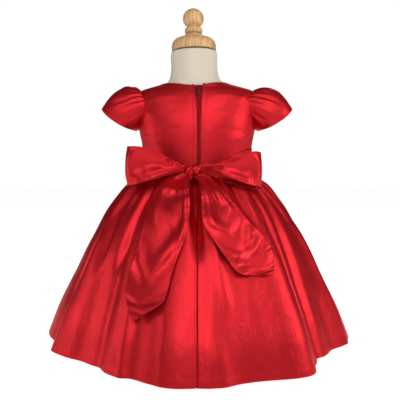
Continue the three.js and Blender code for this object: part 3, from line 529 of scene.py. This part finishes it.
def bodice_panel(name, from_angle, to_angle, columns, cuts):
    low = np.interp(303.3, TORSO["z"], TORSO["along"])
    high = np.interp(472, TORSO["z"], TORSO["along"])

    def face(angle, along):
        level = torso_face(angle, along)
        pulls = creased(BODICE_PULLS, angle, level[..., 2], 100)
        edge = np.maximum(left_of_zip(level), right_of_zip(level))
        rolled = ZIP_FOLD["out"] * ridge(edge - ZIP_FOLD["at"], ZIP_FOLD["wide"])
        rolled -= ZIP_STITCHES["in"] * ridge(edge - ZIP_STITCHES["at"], ZIP_STITCHES["wide"])
        seam = -SEAM_DIP["in"] * ridge(level[..., 1] - SEAM_Y, SEAM_DIP["wide"])
        neck = np.abs(off_neckline(level.reshape(-1, 3)).reshape(np.shape(angle)))
        bound = NECK_EDGE["out"] * ridge(neck, NECK_EDGE["wide"])
        return proud_of(torso_face, angle, along, ON_FORM + pulls + rolled + seam + bound)

    def place(across, up):
        return face(from_angle + (to_angle - from_angle) * across, low + (high - low) * up)

    around = (to_angle - from_angle) / 360 * 600
    return cloth(name, columns, 96, place, (around, high - low), SATIN_WALL, cuts)


def satin_cut(name, streaks, roughness):
    """Red satin. Its shine breaks into fine streaks along the threads that lie on the face."""
    satin = Finish(name, metallic=0.74, specular_tint=(1, 0.5, 0.5, 1))
    satin.shader.inputs["Specular IOR Level"].default_value = 0.8
    dye = satin.noise(satin.coordinates("Object", (1, 1, 1)), 25)
    floats_and_sheen = satin.noise(satin.coordinates("UV", streaks), 1, 4)
    red = satin.blend(dye, (0.54, 0.009, 0.016), (0.61, 0.012, 0.020))
    # The floats darken the colour in streaks: partly the yarn's own slub, partly painted sheen.
    satin.feed("Base Color", satin.blend(floats_and_sheen * 0.25, red, (0.40, 0.006, 0.011)))
    satin.feed("Roughness", floats_and_sheen * 0.10 + roughness)
    rumple = satin.noise(satin.coordinates("Object", (1, 1, 1)), 34, 3)
    satin.relief(floats_and_sheen * 0.25 + rumple, 0.0011)
    return satin


satin_across = satin_cut("satin_across", (14, 260, 1), 0.43)
satin_down = satin_cut("satin_down", (700, 25, 1), 0.36)
satin_ribbon = satin_cut("satin_ribbon", (25, 700, 1), 0.34)
back_cuts = [behind_seam, off_neckline, off_armhole]
bodice_back_left = bodice_panel("bodice_back_left_satin", -96, 0, 96, [*back_cuts, left_of_zip])
bodice_back_right = bodice_panel("bodice_back_right_satin", 0, 96, 96, [*back_cuts, right_of_zip])
bodice_front = bodice_panel("bodice_front_satin", 84, 276, 150, [before_seam, off_neckline, off_armhole])
for piece, node in (
    (bodice_back_left, "bodice_back_left"),
    (bodice_back_right, "bodice_back_right"),
    (bodice_front, "bodice_front"),
):
    fit(piece, satin_across, "satin", node)


# Sleeves
# Short cap sleeves, cut full at the head, gathered over the shoulder into the armhole and
# turned up in a narrow stitched hem.
SLEEVE_HEM = {"x": 147.5, "z": 395.5, "long_x": 31, "long_z": 20.5, "half_depth": 45, "sag": 6, "front": 5}
SLEEVE_PUFF = {"near": 14, "near_share": 0.2, "far": 40, "far_share": 0.62}
HEM_SQUARE = 0.82
HEAD_GATHERS = 9


def row_under(z, proud, column):
    """The form's size under a level of a face that stands off it, which a slope also lifts."""
    level, out = z, np.ones(np.shape(z))
    for _ in range(5):
        slope = smooth(TORSO, "z", column, level + 0.5) - smooth(TORSO, "z", column, level - 0.5)
        out = 1 / np.hypot(1, slope)
        level = z + proud * slope * out
    return {name: smooth(TORSO, "z", name, level) for name in TORSO} | {"out": proud * out}


def bodice_side(y, z, side):
    row = row_under(z, ON_FORM, "half_width")
    share = np.minimum(np.abs(y - row["centre_y"]) / (row["half_depth"] + row["out"]), 1)
    rounded = (1 - share ** row["power"]) ** (1 / row["power"])
    return row["centre_x"] + side * (row["half_width"] + row["out"]) * rounded


def sleeve(name, side, creases):
    def face(degrees, along):
        turn = np.radians(degrees)
        rise, away = np.sin(turn), np.cos(turn)
        head_y = ARMHOLE["y"] + (ARMHOLE["half_depth"] - 0.3) * away
        head_z = ARMHOLE["z"] + (ARMHOLE["half_height"] - 0.3) * rise
        head_x = bodice_side(head_y, head_z, side)
        v = np.clip(along, 0, 1)
        inside = np.clip(-along * 40, 0, 1)
        start = np.stack([head_x + side * (0.8 - 1.6 * inside), head_y, head_z], -1)
        drop = SLEEVE_HEM["sag"] * away**2 - SLEEVE_HEM["front"] * np.maximum(away, 0) ** 2
        level = np.sign(rise) * np.abs(rise) ** HEM_SQUARE
        across = np.sign(away) * np.abs(away) ** HEM_SQUARE
        end = np.stack([
            side * (SLEEVE_HEM["x"] + SLEEVE_HEM["long_x"] * level + 0.4 * drop),
            ARMHOLE["y"] + SLEEVE_HEM["half_depth"] * across,
            SLEEVE_HEM["z"] + SLEEVE_HEM["long_z"] * level - drop,
        ], -1)
        puff = np.where(rise > 0, 0.3 + 0.7 * rise**2, 0.3 * (1 + rise))[..., None]
        lift = np.stack([0 * rise, 0.75 * away, rise], -1) * puff
        near = start + SLEEVE_PUFF["near_share"] * (end - start) + lift * SLEEVE_PUFF["near"]
        far = start + SLEEVE_PUFF["far_share"] * (end - start) + lift * SLEEVE_PUFF["far"]
        t = v[..., None]
        point = (1 - t) ** 3 * start + 3 * t * (1 - t) ** 2 * near + 3 * t**2 * (1 - t) * far + t**3 * end
        phase = (degrees - 20) / 140 * HEAD_GATHERS * 360 + 50 * np.sin(np.radians(degrees * 3))
        within = eased(degrees, 14, 34) * (1 - eased(degrees, 146, 166))
        fade = eased(v, 0, 0.05) * (1 - eased(v, 0.15, 0.75 + 0.2 * np.sin(np.radians(degrees * 5))))
        wave = 1.5 * within * fade * np.sin(np.radians(phase))
        crease = creased(creases, degrees, v * 70, 45)
        stitch = -0.5 * np.exp(-(((v - 0.94) / 0.012) ** 2)) + 0.4 * eased(v, 0.93, 0.97)
        direction = np.stack([0 * rise + side * 0.3, 0.75 * away, rise], -1)
        direction /= np.linalg.norm(direction, axis=-1, keepdims=True)
        return point + direction * (wave + crease + stitch)[..., None]

    def place(across, up):
        turn = across * 360 if side > 0 else 360 - across * 360
        return face(turn, up * 1.03 - 0.03)

    return cloth(name, 150, 44, place, (290, 75), SATIN_WALL, closed=True)


SLEEVE_CREASES_LEFT = table("from_angle from_level to_angle to_level width depth bow", [
    (120, -8, 75, 62, 4, 2.4, 4),
    (205, -6, 215, 60, 5, 2.0, -3),
    (190, -6, 192, 58, 5, -2.2, 3),
    (60, -4, 30, 60, 4, 1.4, 3),
    (150, 4, 128, 66, 4, -1.3, -4),
    (170, 0, 172, 60, 4, 1.0, 3),
    (210, 10, 250, 60, 5, 0.9, 4),
    (330, 8, 290, 58, 5, 0.9, -4),
    (8, 0, 2, 62, 4, 1.0, -3),
])
SLEEVE_CREASES_RIGHT = table("from_angle from_level to_angle to_level width depth bow", [
    (205, -6, 218, 58, 5, 2.2, 3),
    (188, -6, 190, 58, 5, -2.4, -3),
    (128, -6, 98, 60, 4, 1.5, -4),
    (108, 0, 70, 56, 3, -1.4, 3),
    (66, -4, 42, 62, 4, 1.3, -3),
    (148, 4, 140, 64, 4, -1.2, 4),
    (168, 0, 176, 62, 4, 1.1, 3),
    (216, 10, 246, 60, 5, 0.9, 4),
    (326, 8, 296, 58, 5, 0.9, -4),
    (12, 0, 6, 60, 4, 1.0, -3),
])
for side, node, creases in (
    (-1, "sleeve_left", SLEEVE_CREASES_LEFT),
    (1, "sleeve_right", SLEEVE_CREASES_RIGHT),
):
    piece = sleeve(node + "_satin", side, creases)
    fit(piece, satin_across, "satin", node)


# Skirt
# Three flared panels of the same satin with a lining behind them, gathered lightly into the
# waist seam. The skirt stands out over its petticoat and falls in a few wide soft folds.
HEM_Z = 8
WAIST_Z = 303
SKIRT = table("z side back", [
    (303, 99.8, 83),
    (297, 101.3, 85.5),
    (290, 106.5, 92),
    (282, 118, 104),
    (274, 129.5, 115.5),
    (252, 148, 136),
    (224, 168, 158.5),
    (192, 186, 180),
    (158, 203, 199),
    (123, 218, 216),
    (91, 233, 232),
    (55, 249, 249),
    (8, 266, 266),
])
FOLDS = table("angle width depth start lean drift", [
    (-170, 11, 9, 0.15, 6, 3),
    (-140, 9, 12, 0.1, -10, -3),
    (-122, 8, -7, 0.2, 0, 0),
    (-104, 10, 9, 0.1, 6, 2),
    (-84, 9, 7, 0.15, 0, 0),
    (-66, 6, -9, 0.15, 0, 0),
    (-58, 5, 6, 0.05, -12, 0),
    (-42, 11, -13, 0.1, 0, -4),
    (-18, 9, 6, 0.1, 0, -2),
    (0, 11, 9, 0.2, 0, 0),
    (32, 9, 16, 0.05, 16, 5),
    (50, 11, -8, 0.1, 0, 0),
    (76, 9, 10, 0.1, 0, 2),
    (94, 9, -6, 0.15, 0, 0),
    (112, 10, 11, 0.1, -8, -3),
    (131, 8, -6, 0.2, 0, 0),
    (150, 10, 12, 0.1, 10, 3),
])
GATHERS = {"many": 34, "deep": 3.6}
FINE_GATHERS = {"many": 53, "deep": 1.3}
SKIRT_SEAM = {"wide": 1.3, "in": 1.0}
HEM_OUT = 0.25
SKIRT_CREASES = table("from_angle from_level to_angle to_level width depth bow", [
    (42.5, 280, 39.5, -60, 5, -6.0, 0),
    (54, 292, 47, -60, 11, -6.5, -4),
    (73, 282, 67, -60, 9, 3.5, 3),
    (-62, 282, -62, -60, 8, -4.5, 4),
    (-52, 292, -49, -60, 16, 3.0, -5),
    (-40, 240, -35, -60, 13, -5.5, 4),
    (-28, 180, -24, -60, 8, 3.0, 3),
    (-20.5, 240, -19.5, -80, 24, -9.0, -3),
    (-37.5, 302, -40, 130, 8, -10.0, 3),
    (-54, 300, -52, 120, 8, -6.0, 3),
    (26, 302, 31, 205, 6, -8.0, 2),
    (34, 310, 40, 200, 5, 4.0, 2),
    (-70, 300, -69, 60, 9, -5.0, 3),
    (-7, 230, -6, -60, 18, 2.5, 2),
    (8, 240, 13, 85, 7, 2.6, -5),
    (6, 75, 9, -60, 12, 2.4, 3),
    (60, 120, 57, -80, 16, -4.5, 3),
    (-1, 302, 1, 155, 8, -14.0, 0),
    (9, 320, 5, 190, 5, 4.0, 2),
    (-9, 320, -6, 200, 5, 4.0, -2),
    (20, 170, 22, 20, 14, -1.5, 3),
    (100, 285, 103, -60, 9, -2.5, 5),
    (122, 280, 118, -60, 10, 2.5, -5),
    (142, 285, 139, -60, 9, -3.0, 5),
    (163, 280, 166, -60, 10, 2.5, -4),
    (178, 285, 181, -60, 9, -2.5, 4),
    (198, 285, 194, -60, 9, 2.5, -4),
    (212, 280, 208, -60, 10, -2.5, 5),
    (232, 285, 230, -60, 9, 2.5, -4),
    (248, 280, 246, -60, 9, -2.5, 4),
    (262, 285, 259, -60, 10, 2.5, -4),
])
SKIRT_OVERLAPS = table("waist_angle hem_angle start left right depth", [
    (36, 32, 0.02, 8, 6, 5),
    (-61, -60, 0.0, 1.5, 8, 6),
    (-12, -10, 0.4, 2.5, 7, 4),
    (73, 67, 0.05, 4, 4, 4),
    (8, 4, 0.35, 2.5, 8, 3),
    (128, 124, 0.2, 7, 2, 8),
    (-128, -131, 0.2, 2, 7, 8),
    (160, 164, 0.3, 6, 2.5, 6),
    (-160, -157, 0.3, 2.5, 6, 6),
])


def overlapped(angle, share):
    """Folds that lie over their neighbours: a slow rise on one side and a sharp drop on the other."""
    moved = np.zeros(np.shape(angle))
    for waist_angle, hem_angle, start, left, right, depth in zip(*SKIRT_OVERLAPS.values()):
        away = (angle - waist_angle - (hem_angle - waist_angle) * share + 180) % 360 - 180
        width = np.where(away < 0, left, right)
        moved += depth * eased(share, start, start + 0.35) * np.exp(-((away / width) ** 2))
    return moved


def skirt_point(angle, z, proud=0.0, creases=True):
    below = WAIST_Z - z
    share = below / (WAIST_Z - HEM_Z)
    side, back = smooth(SKIRT, "z", "side", z), smooth(SKIRT, "z", "back", z)
    out = proud + np.zeros(np.shape(angle))
    shift = np.zeros(np.shape(angle))
    for centre, width, depth, start, lean, drift in zip(*FOLDS.values()):
        away = (angle - centre - drift * (1 - share) + 180) % 360 - 180
        bell = eased(share, start, 1) * np.exp(-((away / width) ** 2))
        out += depth * bell
        shift += lean * bell
    if creases:
        phase = angle * GATHERS["many"] + 45 * np.sin(np.radians(angle * 3 + 20))
        phase += 30 * np.sin(np.radians(angle * 7))
        reach = 40 + 16 * np.sin(np.radians(angle * 11)) + 10 * np.sin(np.radians(angle * 17 + 50))
        fade = eased(below, 3, 16) * (1 - eased(below, reach, reach + 70))
        uneven = 1 + 0.35 * np.sin(np.radians(angle * 5 + 60))
        out += GATHERS["deep"] * uneven * fade * np.sin(np.radians(phase))
        phase = angle * FINE_GATHERS["many"] + 60 * np.sin(np.radians(angle * 5)) + 30
        reach = 26 + 16 * np.sin(np.radians(angle * 13 + 80))
        fade = eased(below, 3, 14) * (1 - eased(below, reach, reach + 45))
        out += FINE_GATHERS["deep"] * fade * np.sin(np.radians(phase))
        out += creased(SKIRT_CREASES, angle, z, (side + back) / 2) + overlapped(angle, share)
    turn = np.radians(angle + np.degrees(shift / back))
    return np.stack([(side + out) * np.sin(turn), -(back + out) * np.cos(turn), z + 0 * out], -1)


def skirt_panel(name, from_angle, to_angle, columns):
    def place(across, up):
        z = HEM_Z + (WAIST_Z - HEM_Z) * (up - 0.55 * np.sin(2 * np.pi * up) / (2 * np.pi))
        radius = smooth(SKIRT, "z", "back", z)
        angle = from_angle + (to_angle - from_angle) * across
        edge = np.minimum(across, 1 - across) * np.radians(to_angle - from_angle) * radius
        seam = -SKIRT_SEAM["in"] * ridge(edge, SKIRT_SEAM["wide"]) * eased(WAIST_Z - z, 0, 20)
        hem = HEM_OUT * (1 - eased(z - HEM_Z, 8, 13))
        return skirt_point(angle, z, seam + hem)

    around = np.radians(to_angle - from_angle) * 266
    return cloth(name, columns, 92, place, (around, 360), SATIN_WALL)


for name, node, from_angle, to_angle, columns, width in (
    ("skirt_back_left_satin", "skirt_back_left", -93, 0, 150, 0.46),
    ("skirt_back_right_satin", "skirt_back_right", 0, 93, 150, 0.46),
    ("skirt_front_satin", "skirt_front", 93, 267, 250, 0.86),
):
    piece = skirt_panel(name, from_angle, to_angle, columns)
    fit(piece, satin_down, "satin", node)


# Zip
# A red coil zip, sewn in behind the two folded edges of the centre-back opening, with a small
# enamelled slider and a tab that hangs from it and swings.
def back_y(x, z, proud):
    row = row_under(z, proud, "half_depth")
    share = np.abs(x - row["centre_x"]) / (row["half_width"] + row["out"])
    rounded = (1 - share ** row["power"]) ** (1 / row["power"])
    return row["centre_y"] - (row["half_depth"] + row["out"]) * rounded


woven = Finish("zip_tape", roughness=0.9, specular_tint=(0.6, 0.05, 0.05, 1))
ribbed = woven.node("ShaderNodeTexWave", {}, {"Vector": woven.coordinates("UV", (1, 1, 1)), "Scale": 500})
woven.feed("Base Color", woven.blend(ribbed, (0.24, 0.005, 0.010), (0.32, 0.008, 0.014)))
woven.relief(ribbed, 0.0002)


def tape_place(across, up):
    z = 304.5 + (456 - 304.5) * up
    half = smooth(PLACKET, "z", "half", z) - 0.3
    x = ZIP_X + (2 * across - 1) * half
    return np.stack([x, back_y(x, z, 1.1), z], -1)


tape = cloth("zip_tape_woven", 10, 60, tape_place, (10, 151.5), 0.6)
fit(tape, woven, "zip", "zip_tape")

coil_nylon = Finish("zip_coil", roughness=0.5, specular_tint=(0.8, 0.08, 0.08, 1))
worn = coil_nylon.noise(coil_nylon.coordinates("Object", (1, 1, 1)), 300)
coil_nylon.feed("Base Color", coil_nylon.blend(worn, (0.34, 0.008, 0.014), (0.42, 0.011, 0.018)))
TOOTH = {"count": 112, "low": 305.2, "high": 444.5, "long": 1.9, "thick": 0.9, "high_side": 0.72}
coil = bmesh.new()
for i in range(TOOTH["count"]):
    z = TOOTH["low"] + (TOOTH["high"] - TOOTH["low"]) * i / (TOOTH["count"] - 1)
    side = 1 if i % 2 else -1
    x = ZIP_X + side * 0.62
    y = float(back_y(np.array([x]), np.array([z]), 1.45)[0])
    made = bmesh.ops.create_cube(coil, size=MM)
    size = Matrix.Diagonal((TOOTH["long"], TOOTH["thick"], TOOTH["high_side"], 1))
    bmesh.ops.transform(coil, matrix=Matrix.Translation(Vector((x, y, z)) * MM) @ size, verts=made["verts"])
teeth = shell("zip_coil_teeth", coil)
teeth.data.materials.append(coil_nylon.material)
teeth.modifiers.new("rounded", "BEVEL").width = 0.00015
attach(teeth, "dress_on_form")

enamel = Finish("enamel", roughness=0.4, specular_tint=(1, 0.3, 0.3, 1), coat_weight=0.1)
chipped = enamel.noise(enamel.coordinates("Object", (1, 1, 1)), 700, 4)
enamel.feed("Base Color", enamel.blend(chipped, (0.05, 0.004, 0.005), (0.10, 0.008, 0.010)))
take_node("zip_slider", enamel)
take_node("zip_pull", enamel)


# Sash
# A ribbon of the same satin, folded double and caught into the side seams, that wraps the
# front of the waist and runs back under the bow.
SASH = table("angle bottom top", [
    (0, 303.6, 311), (20, 303.6, 317), (45, 303.6, 332), (75, 303.6, 341), (180, 303.6, 341),
])
SASH_GAP = 0.4
SASH_THICK = 1.0
RIBBON = 0.9


def waist_point(angle, z, proud):
    row = {name: smooth(TORSO, "z", name, z) for name in TORSO}
    turn = np.radians(angle)
    out = ON_FORM + proud
    x = (row["half_width"] + out) * squared(np.sin(turn), row["power"])
    y = -(row["half_depth"] + out) * squared(np.cos(turn), row["power"])
    return np.stack([x, y, z], -1)


def sash_place(across, up):
    angle = across * 360 - 180
    bottom = smooth(SASH, "angle", "bottom", np.abs(angle))
    top = smooth(SASH, "angle", "top", np.abs(angle))
    z = bottom + (top - bottom) * up
    drag = 2 * np.sin(np.radians(angle * 2 + 30)) + 1.5 * np.sin(np.radians(angle * 5))
    wrinkle = 0.35 * np.sin(up * 17 + drag) * eased(up, 0.05, 0.2) * (1 - eased(up, 0.8, 0.95))
    edge = 0.3 * np.exp(-((np.minimum(up, 1 - up) / 0.04) ** 2))
    return waist_point(angle, z, SASH_GAP + SASH_THICK + wrinkle + edge)


sash = cloth("sash_band_satin", 220, 22, sash_place, (600, 37), RIBBON, closed=True)
fit(sash, satin_ribbon, "ribbon", "sash_band")


# Bow
# Tied from the two ends of the sash: a loop and a tail on each side of a wrapped knot. Each
# path follows the middle of the ribbon from the knot round the loop's fold and back.
LOOP_LEFT = table("x y top bottom crown", [
    (-14, -98, 307, 300, 0),
    (-24, -102, 311, 301, 0),
    (-40, -109, 319, 302, 0),
    (-60, -115, 330, 295, -5),
    (-80, -117, 339, 288, -9),
    (-99, -113, 342.5, 281, -8),
    (-114, -103, 343.5, 277, 1),
    (-120, -91, 343, 276, 3),
    (-114, -81, 341, 277, 2),
    (-96, -81, 337, 281, 2),
    (-72, -86, 329, 287, 1),
    (-48, -90, 319, 294, 0),
    (-28, -92, 311, 298, 0),
    (-14, -93, 307, 299, 0),
])
LOOP_RIGHT = table("x y top bottom crown", [
    (-2, -98, 307, 300, 0),
    (14, -101, 309, 302, 0),
    (30, -107, 313, 301, 0),
    (47, -112, 319, 294, -3),
    (62, -115, 324, 288.5, -7),
    (78, -115, 329, 282, -9),
    (93, -110, 334, 277.5, -6),
    (105, -100, 334.5, 275, 2),
    (110, -90, 332, 272, 2),
    (104, -82, 331, 270.5, 2),
    (86, -82, 327, 271, 1),
    (64, -87, 322, 275, 1),
    (42, -91, 316, 284, 0),
    (20, -93, 310, 294, 0),
    (-2, -93, 307, 299, 0),
])
LOOP_CREASES_LEFT = table("from_share from_up to_share to_up width depth", [
    (0.00, 0.50, 0.24, 0.72, 0.12, -1.4),
    (0.02, 0.20, 0.30, 0.24, 0.13, 1.8),
    (0.20, 0.26, 0.44, 0.14, 0.16, 3.5),
    (0.46, 0.05, 0.46, 0.95, 0.22, 2.5),
    (0.12, 0.90, 0.44, 0.97, 0.05, 0.8),
])
LOOP_CREASES_RIGHT = table("from_share from_up to_share to_up width depth", [
    (0.00, 0.60, 0.26, 0.62, 0.12, -1.4),
    (0.04, 0.20, 0.46, 0.14, 0.14, 3.5),
    (0.46, 0.05, 0.46, 0.95, 0.20, 2.0),
    (0.16, 0.45, 0.30, 0.30, 0.10, 1.2),
    (0.10, 0.90, 0.44, 0.96, 0.05, 0.8),
])
RIBBON_LONG = 3.3
LOOP_EYES = table("side share up long high", [
    (-1, 0.175, 0.72, 0.032, 0.27),
    (1, 0.175, 0.52, 0.034, 0.24),
])


def folded(creases, share, up):
    """Creases of a ribbon, between shares of its length and width. A width is a share of its own."""
    moved = np.zeros(np.shape(share))
    for from_share, from_up, to_share, to_up, width, depth in zip(*creases.values()):
        run, rise = (to_share - from_share) * RIBBON_LONG, to_up - from_up
        across, high = (share - from_share) * RIBBON_LONG, up - from_up
        length = np.hypot(run, rise)
        t = (across * run + high * rise) / length**2
        beside = (across * rise - high * run) / length
        fade = eased(t, -0.05, 0.25) * (1 - eased(t, 0.75, 1.05))
        moved += depth * fade * np.exp(-((beside / width) ** 2))
    return moved


def waist_size(z, distance):
    """Half width and half depth of the skirt, the bodice and the sash together at a level."""
    side = np.where(z < WAIST_Z, smooth(SKIRT, "z", "side", z), 0)
    back = np.where(z < WAIST_Z, smooth(SKIRT, "z", "back", z), 0)
    gathered = 2.0 * eased(WAIST_Z - z, 2, 14)
    on_form = ON_FORM + SASH_GAP + SASH_THICK
    width = np.maximum(side + gathered, smooth(TORSO, "z", "half_width", z) + on_form)
    depth = np.maximum(back + gathered, smooth(TORSO, "z", "half_depth", z) + on_form)
    return width + distance, depth + distance


RUMPLES = table("across along start depth", [
    (0.03, 0.17, 0.4, 0.9),
    (0.09, 0.12, 2.1, 0.7),
    (-0.08, 0.14, 4.0, 0.7),
    (0.12, 0.05, 1.2, 0.4),
    (-0.05, 0.28, 5.2, 0.35),
    (0.10, 0.22, 3.3, 0.3),
])


def rumpled(across, along):
    """Soft lumps of a ribbon that has been tied: long waves that cross at several angles."""
    bent = across + 7 * np.sin(along * 0.06 + 1)
    drawn = along + 9 * np.sin(across * 0.08 + 2)
    moved = np.zeros(np.shape(across))
    for run, rise, start, depth in zip(*RUMPLES.values()):
        moved += depth * np.sin(bent * run + drawn * rise + start)
    return moved


def puckered(from_edge, along):
    """Short puckers where the ribbon's edge is stitched, and the rim of its turned edge."""
    beat = along * 0.95 + 1.5 * np.sin(along * 0.21)
    return 0.3 * np.sin(beat) * np.exp(-((from_edge / 8) ** 2)) + 0.4 * np.exp(-((from_edge / 1.4) ** 2))


def loop(name, rows, creases, side):
    rows["share"] = np.linspace(0, 1, len(rows["x"]))

    def place(across, up):
        share = across if side > 0 else 1 - across
        at = {column: smooth(rows, "share", column, share) for column in rows}
        step = 0.004
        run_x = smooth(rows, "share", "x", share + step) - smooth(rows, "share", "x", share - step)
        run_y = smooth(rows, "share", "y", share + step) - smooth(rows, "share", "y", share - step)
        length = np.maximum(np.hypot(run_x, run_y), 1e-9)
        out_x, out_y = side * run_y / length, -side * run_x / length
        crown = at["crown"] * (1 - (2 * up - 1) ** 2) + folded(creases, share, up)
        high = (at["top"] - at["bottom"]) * up
        crown += 0.3 * rumpled(high, share * 250) * eased(share, 0, 0.1) * (1 - eased(share, 0.5, 0.6))
        for eye_side, eye_share, eye_up, long, high in zip(*LOOP_EYES.values()):
            ring = np.hypot((share - eye_share) / long, (up - eye_up) / high)
            crown += (2.0 * np.exp(-(((ring - 1) / 0.3) ** 2)) - 0.8 * (ring < 0.7)) * (eye_side == side)
        crown += puckered(np.minimum(up, 1 - up) * (at["top"] - at["bottom"]), share * 250)
        x, y = at["x"] + out_x * crown, at["y"] + out_y * crown
        z = at["bottom"] + (at["top"] - at["bottom"]) * up
        width, depth = waist_size(z, 2.2)
        ratio = np.maximum(np.minimum(np.hypot(x / width, y / depth), 1), 1e-6)
        return np.stack([x / ratio, y / ratio, z], -1)

    return cloth(name, 130, 30, place, (250, 55), RIBBON)


loop_left = loop("bow_loop_left_satin", LOOP_LEFT, LOOP_CREASES_LEFT, -1)
fit(loop_left, satin_ribbon, "ribbon", "bow_loop_left")
loop_right = loop("bow_loop_right_satin", LOOP_RIGHT, LOOP_CREASES_RIGHT, 1)
fit(loop_right, satin_ribbon, "ribbon", "bow_loop_right")

KNOT = {"x": -8, "y": -96.6, "z": 301.5, "half_width": 13, "half_depth": 11.2, "half_height": 11.5}
KNOT_CREASES = table("across slant width depth", [
    (0.30, 0.16, 0.05, 0.20),
    (0.55, -0.20, 0.05, 0.24),
    (0.74, 0.10, 0.04, 0.14),
])


def knot_place(across, up):
    turn = (up * 2 - 1) * np.pi
    swell = 0.74 + 0.26 * np.sin(np.pi * across) ** 0.7 + 0.05 * np.sin(turn * 2 + across * 9)
    for middle, slant, width, depth in zip(*KNOT_CREASES.values()):
        swell -= depth * np.exp(-(((across - middle - slant * np.sin(turn)) / width) ** 2))
    y = KNOT["y"] - KNOT["half_depth"] * swell * np.cos(turn)
    z = KNOT["z"] + KNOT["half_height"] * swell * np.sin(turn)
    bulge = 1 - 0.15 * np.cos(2 * turn)
    x = KNOT["x"] + KNOT["half_width"] * (2 * across - 1) * bulge + 2.5 * np.sin(turn)
    width, depth = waist_size(z, 1.2)
    ratio = np.minimum(np.hypot(x / width, y / depth), 1)
    return np.stack([x / ratio, y / ratio, z], -1)


knot = cloth("bow_knot_satin", 60, 90, knot_place, (26, 70), RIBBON, closed=True)
fit(knot, satin_ribbon, "ribbon", "bow_knot")

TAIL_LEFT = table("left_x left_z right_x right_z lift", [
    (-22, 298, -6, 292, 10),
    (-46, 292, -13, 285, 12),
    (-64.6, 276.8, -13, 272, 12),
    (-73.5, 262, -11.5, 256, 11),
    (-83, 233.7, -12.3, 230, 10),
    (-91, 193.3, -20.2, 196, 8),
    (-102.8, 155.6, -36.2, 157, 7),
    (-109.6, 128, -43, 129, 6),
    (-108, 113, -49, 114, 6),
    (-103.5, 101, -63, 104, 5),
    (-98.5, 91, -80, 93.5, 5),
    (-95, 85, -93, 85.5, 5),
])
TAIL_RIGHT = table("left_x left_z right_x right_z lift", [
    (-6, 292, 10, 298, 10),
    (2, 286, 24, 290, 12),
    (6.6, 270.3, 40, 271, 12),
    (7.3, 250.3, 60, 251, 11),
    (10, 221, 81, 225.6, 10),
    (25, 199, 97.5, 208.7, 9),
    (42, 174.8, 109, 196, 8),
    (59, 153.5, 119, 181, 7),
    (76, 146, 120, 163, 6),
    (97, 144.5, 119.5, 152, 6),
    (116.5, 144, 118.5, 145, 6),
])
TAIL_CREASES_LEFT = table("from_share from_up to_share to_up width depth", [
    (0.00, 0.22, 0.42, 0.20, 0.14, 3.2),
    (0.00, 0.50, 0.30, 0.62, 0.09, -3.0),
    (0.02, 0.82, 0.50, 0.92, 0.06, 3.2),
    (0.26, 0.10, 0.42, 0.85, 0.08, 1.6),
    (0.33, 0.15, 0.50, 0.95, 0.09, -1.6),
    (0.50, 0.02, 0.58, 0.45, 0.07, 0.8),
    (0.62, 0.02, 0.70, 0.55, 0.09, -0.8),
    (0.72, 0.02, 0.80, 0.50, 0.08, 0.7),
])
TAIL_CREASES_RIGHT = table("from_share from_up to_share to_up width depth", [
    (0.00, 0.20, 0.45, 0.22, 0.12, 3.4),
    (0.00, 0.52, 0.34, 0.48, 0.08, -3.4),
    (0.02, 0.80, 0.36, 0.78, 0.08, 2.2),
    (0.54, 1.02, 0.66, 0.05, 0.07, 2.0),
    (0.61, 0.95, 0.72, 0.02, 0.07, -1.5),
    (0.40, 0.95, 0.50, 0.40, 0.08, -1.3),
    (0.75, 0.50, 1.02, 0.50, 0.20, 0.6),
])


EDGES_OUT = 1.5
TOP_OUT = 5
LEAST_LIFT = 2.5


def tail(name, rows, creases, flat):
    rows["share"] = np.linspace(0, 1, len(rows["lift"]))

    def place(across, up):
        share = 1 - up
        at = {column: smooth(rows, "share", column, share) for column in rows}
        x = at["left_x"] + (at["right_x"] - at["left_x"]) * across
        z = at["left_z"] + (at["right_z"] - at["left_z"]) * across
        width = np.hypot(at["right_x"] - at["left_x"], at["right_z"] - at["left_z"])
        run = share * flat[1]
        curl = EDGES_OUT * (2 * across - 1) ** 2 * (1 - share)
        curl += TOP_OUT * (1 - eased(share, 0.05, 0.75))
        lumps = rumpled(across * width, run) * eased(share, 0, 0.15)
        lift = at["lift"] + 1.0 + folded(creases, share, across) + lumps + curl
        lift += puckered(np.minimum(across, 1 - across) * width, run)
        lift = np.maximum(lift, LEAST_LIFT)
        side = smooth(SKIRT, "z", "side", z)
        angle = np.degrees(np.arcsin(np.clip(x / (side + lift), -1, 1)))
        for _ in range(8):
            miss = x - skirt_point(angle, z, lift, creases=False)[..., 0]
            angle += np.degrees(miss / (side + lift) / np.cos(np.radians(angle)))
        y = skirt_point(angle, z, lift, creases=False)[..., 1]
        return np.stack([x, y, z], -1)

    return cloth(name, 44, 110, place, flat, RIBBON)


tail_left = tail("bow_tail_left_satin", TAIL_LEFT, TAIL_CREASES_LEFT, (70, 230))
fit(tail_left, satin_ribbon, "ribbon", "bow_tail_left")
tail_right = tail("bow_tail_right_satin", TAIL_RIGHT, TAIL_CREASES_RIGHT, (70, 200))
fit(tail_right, satin_ribbon, "ribbon", "bow_tail_right")
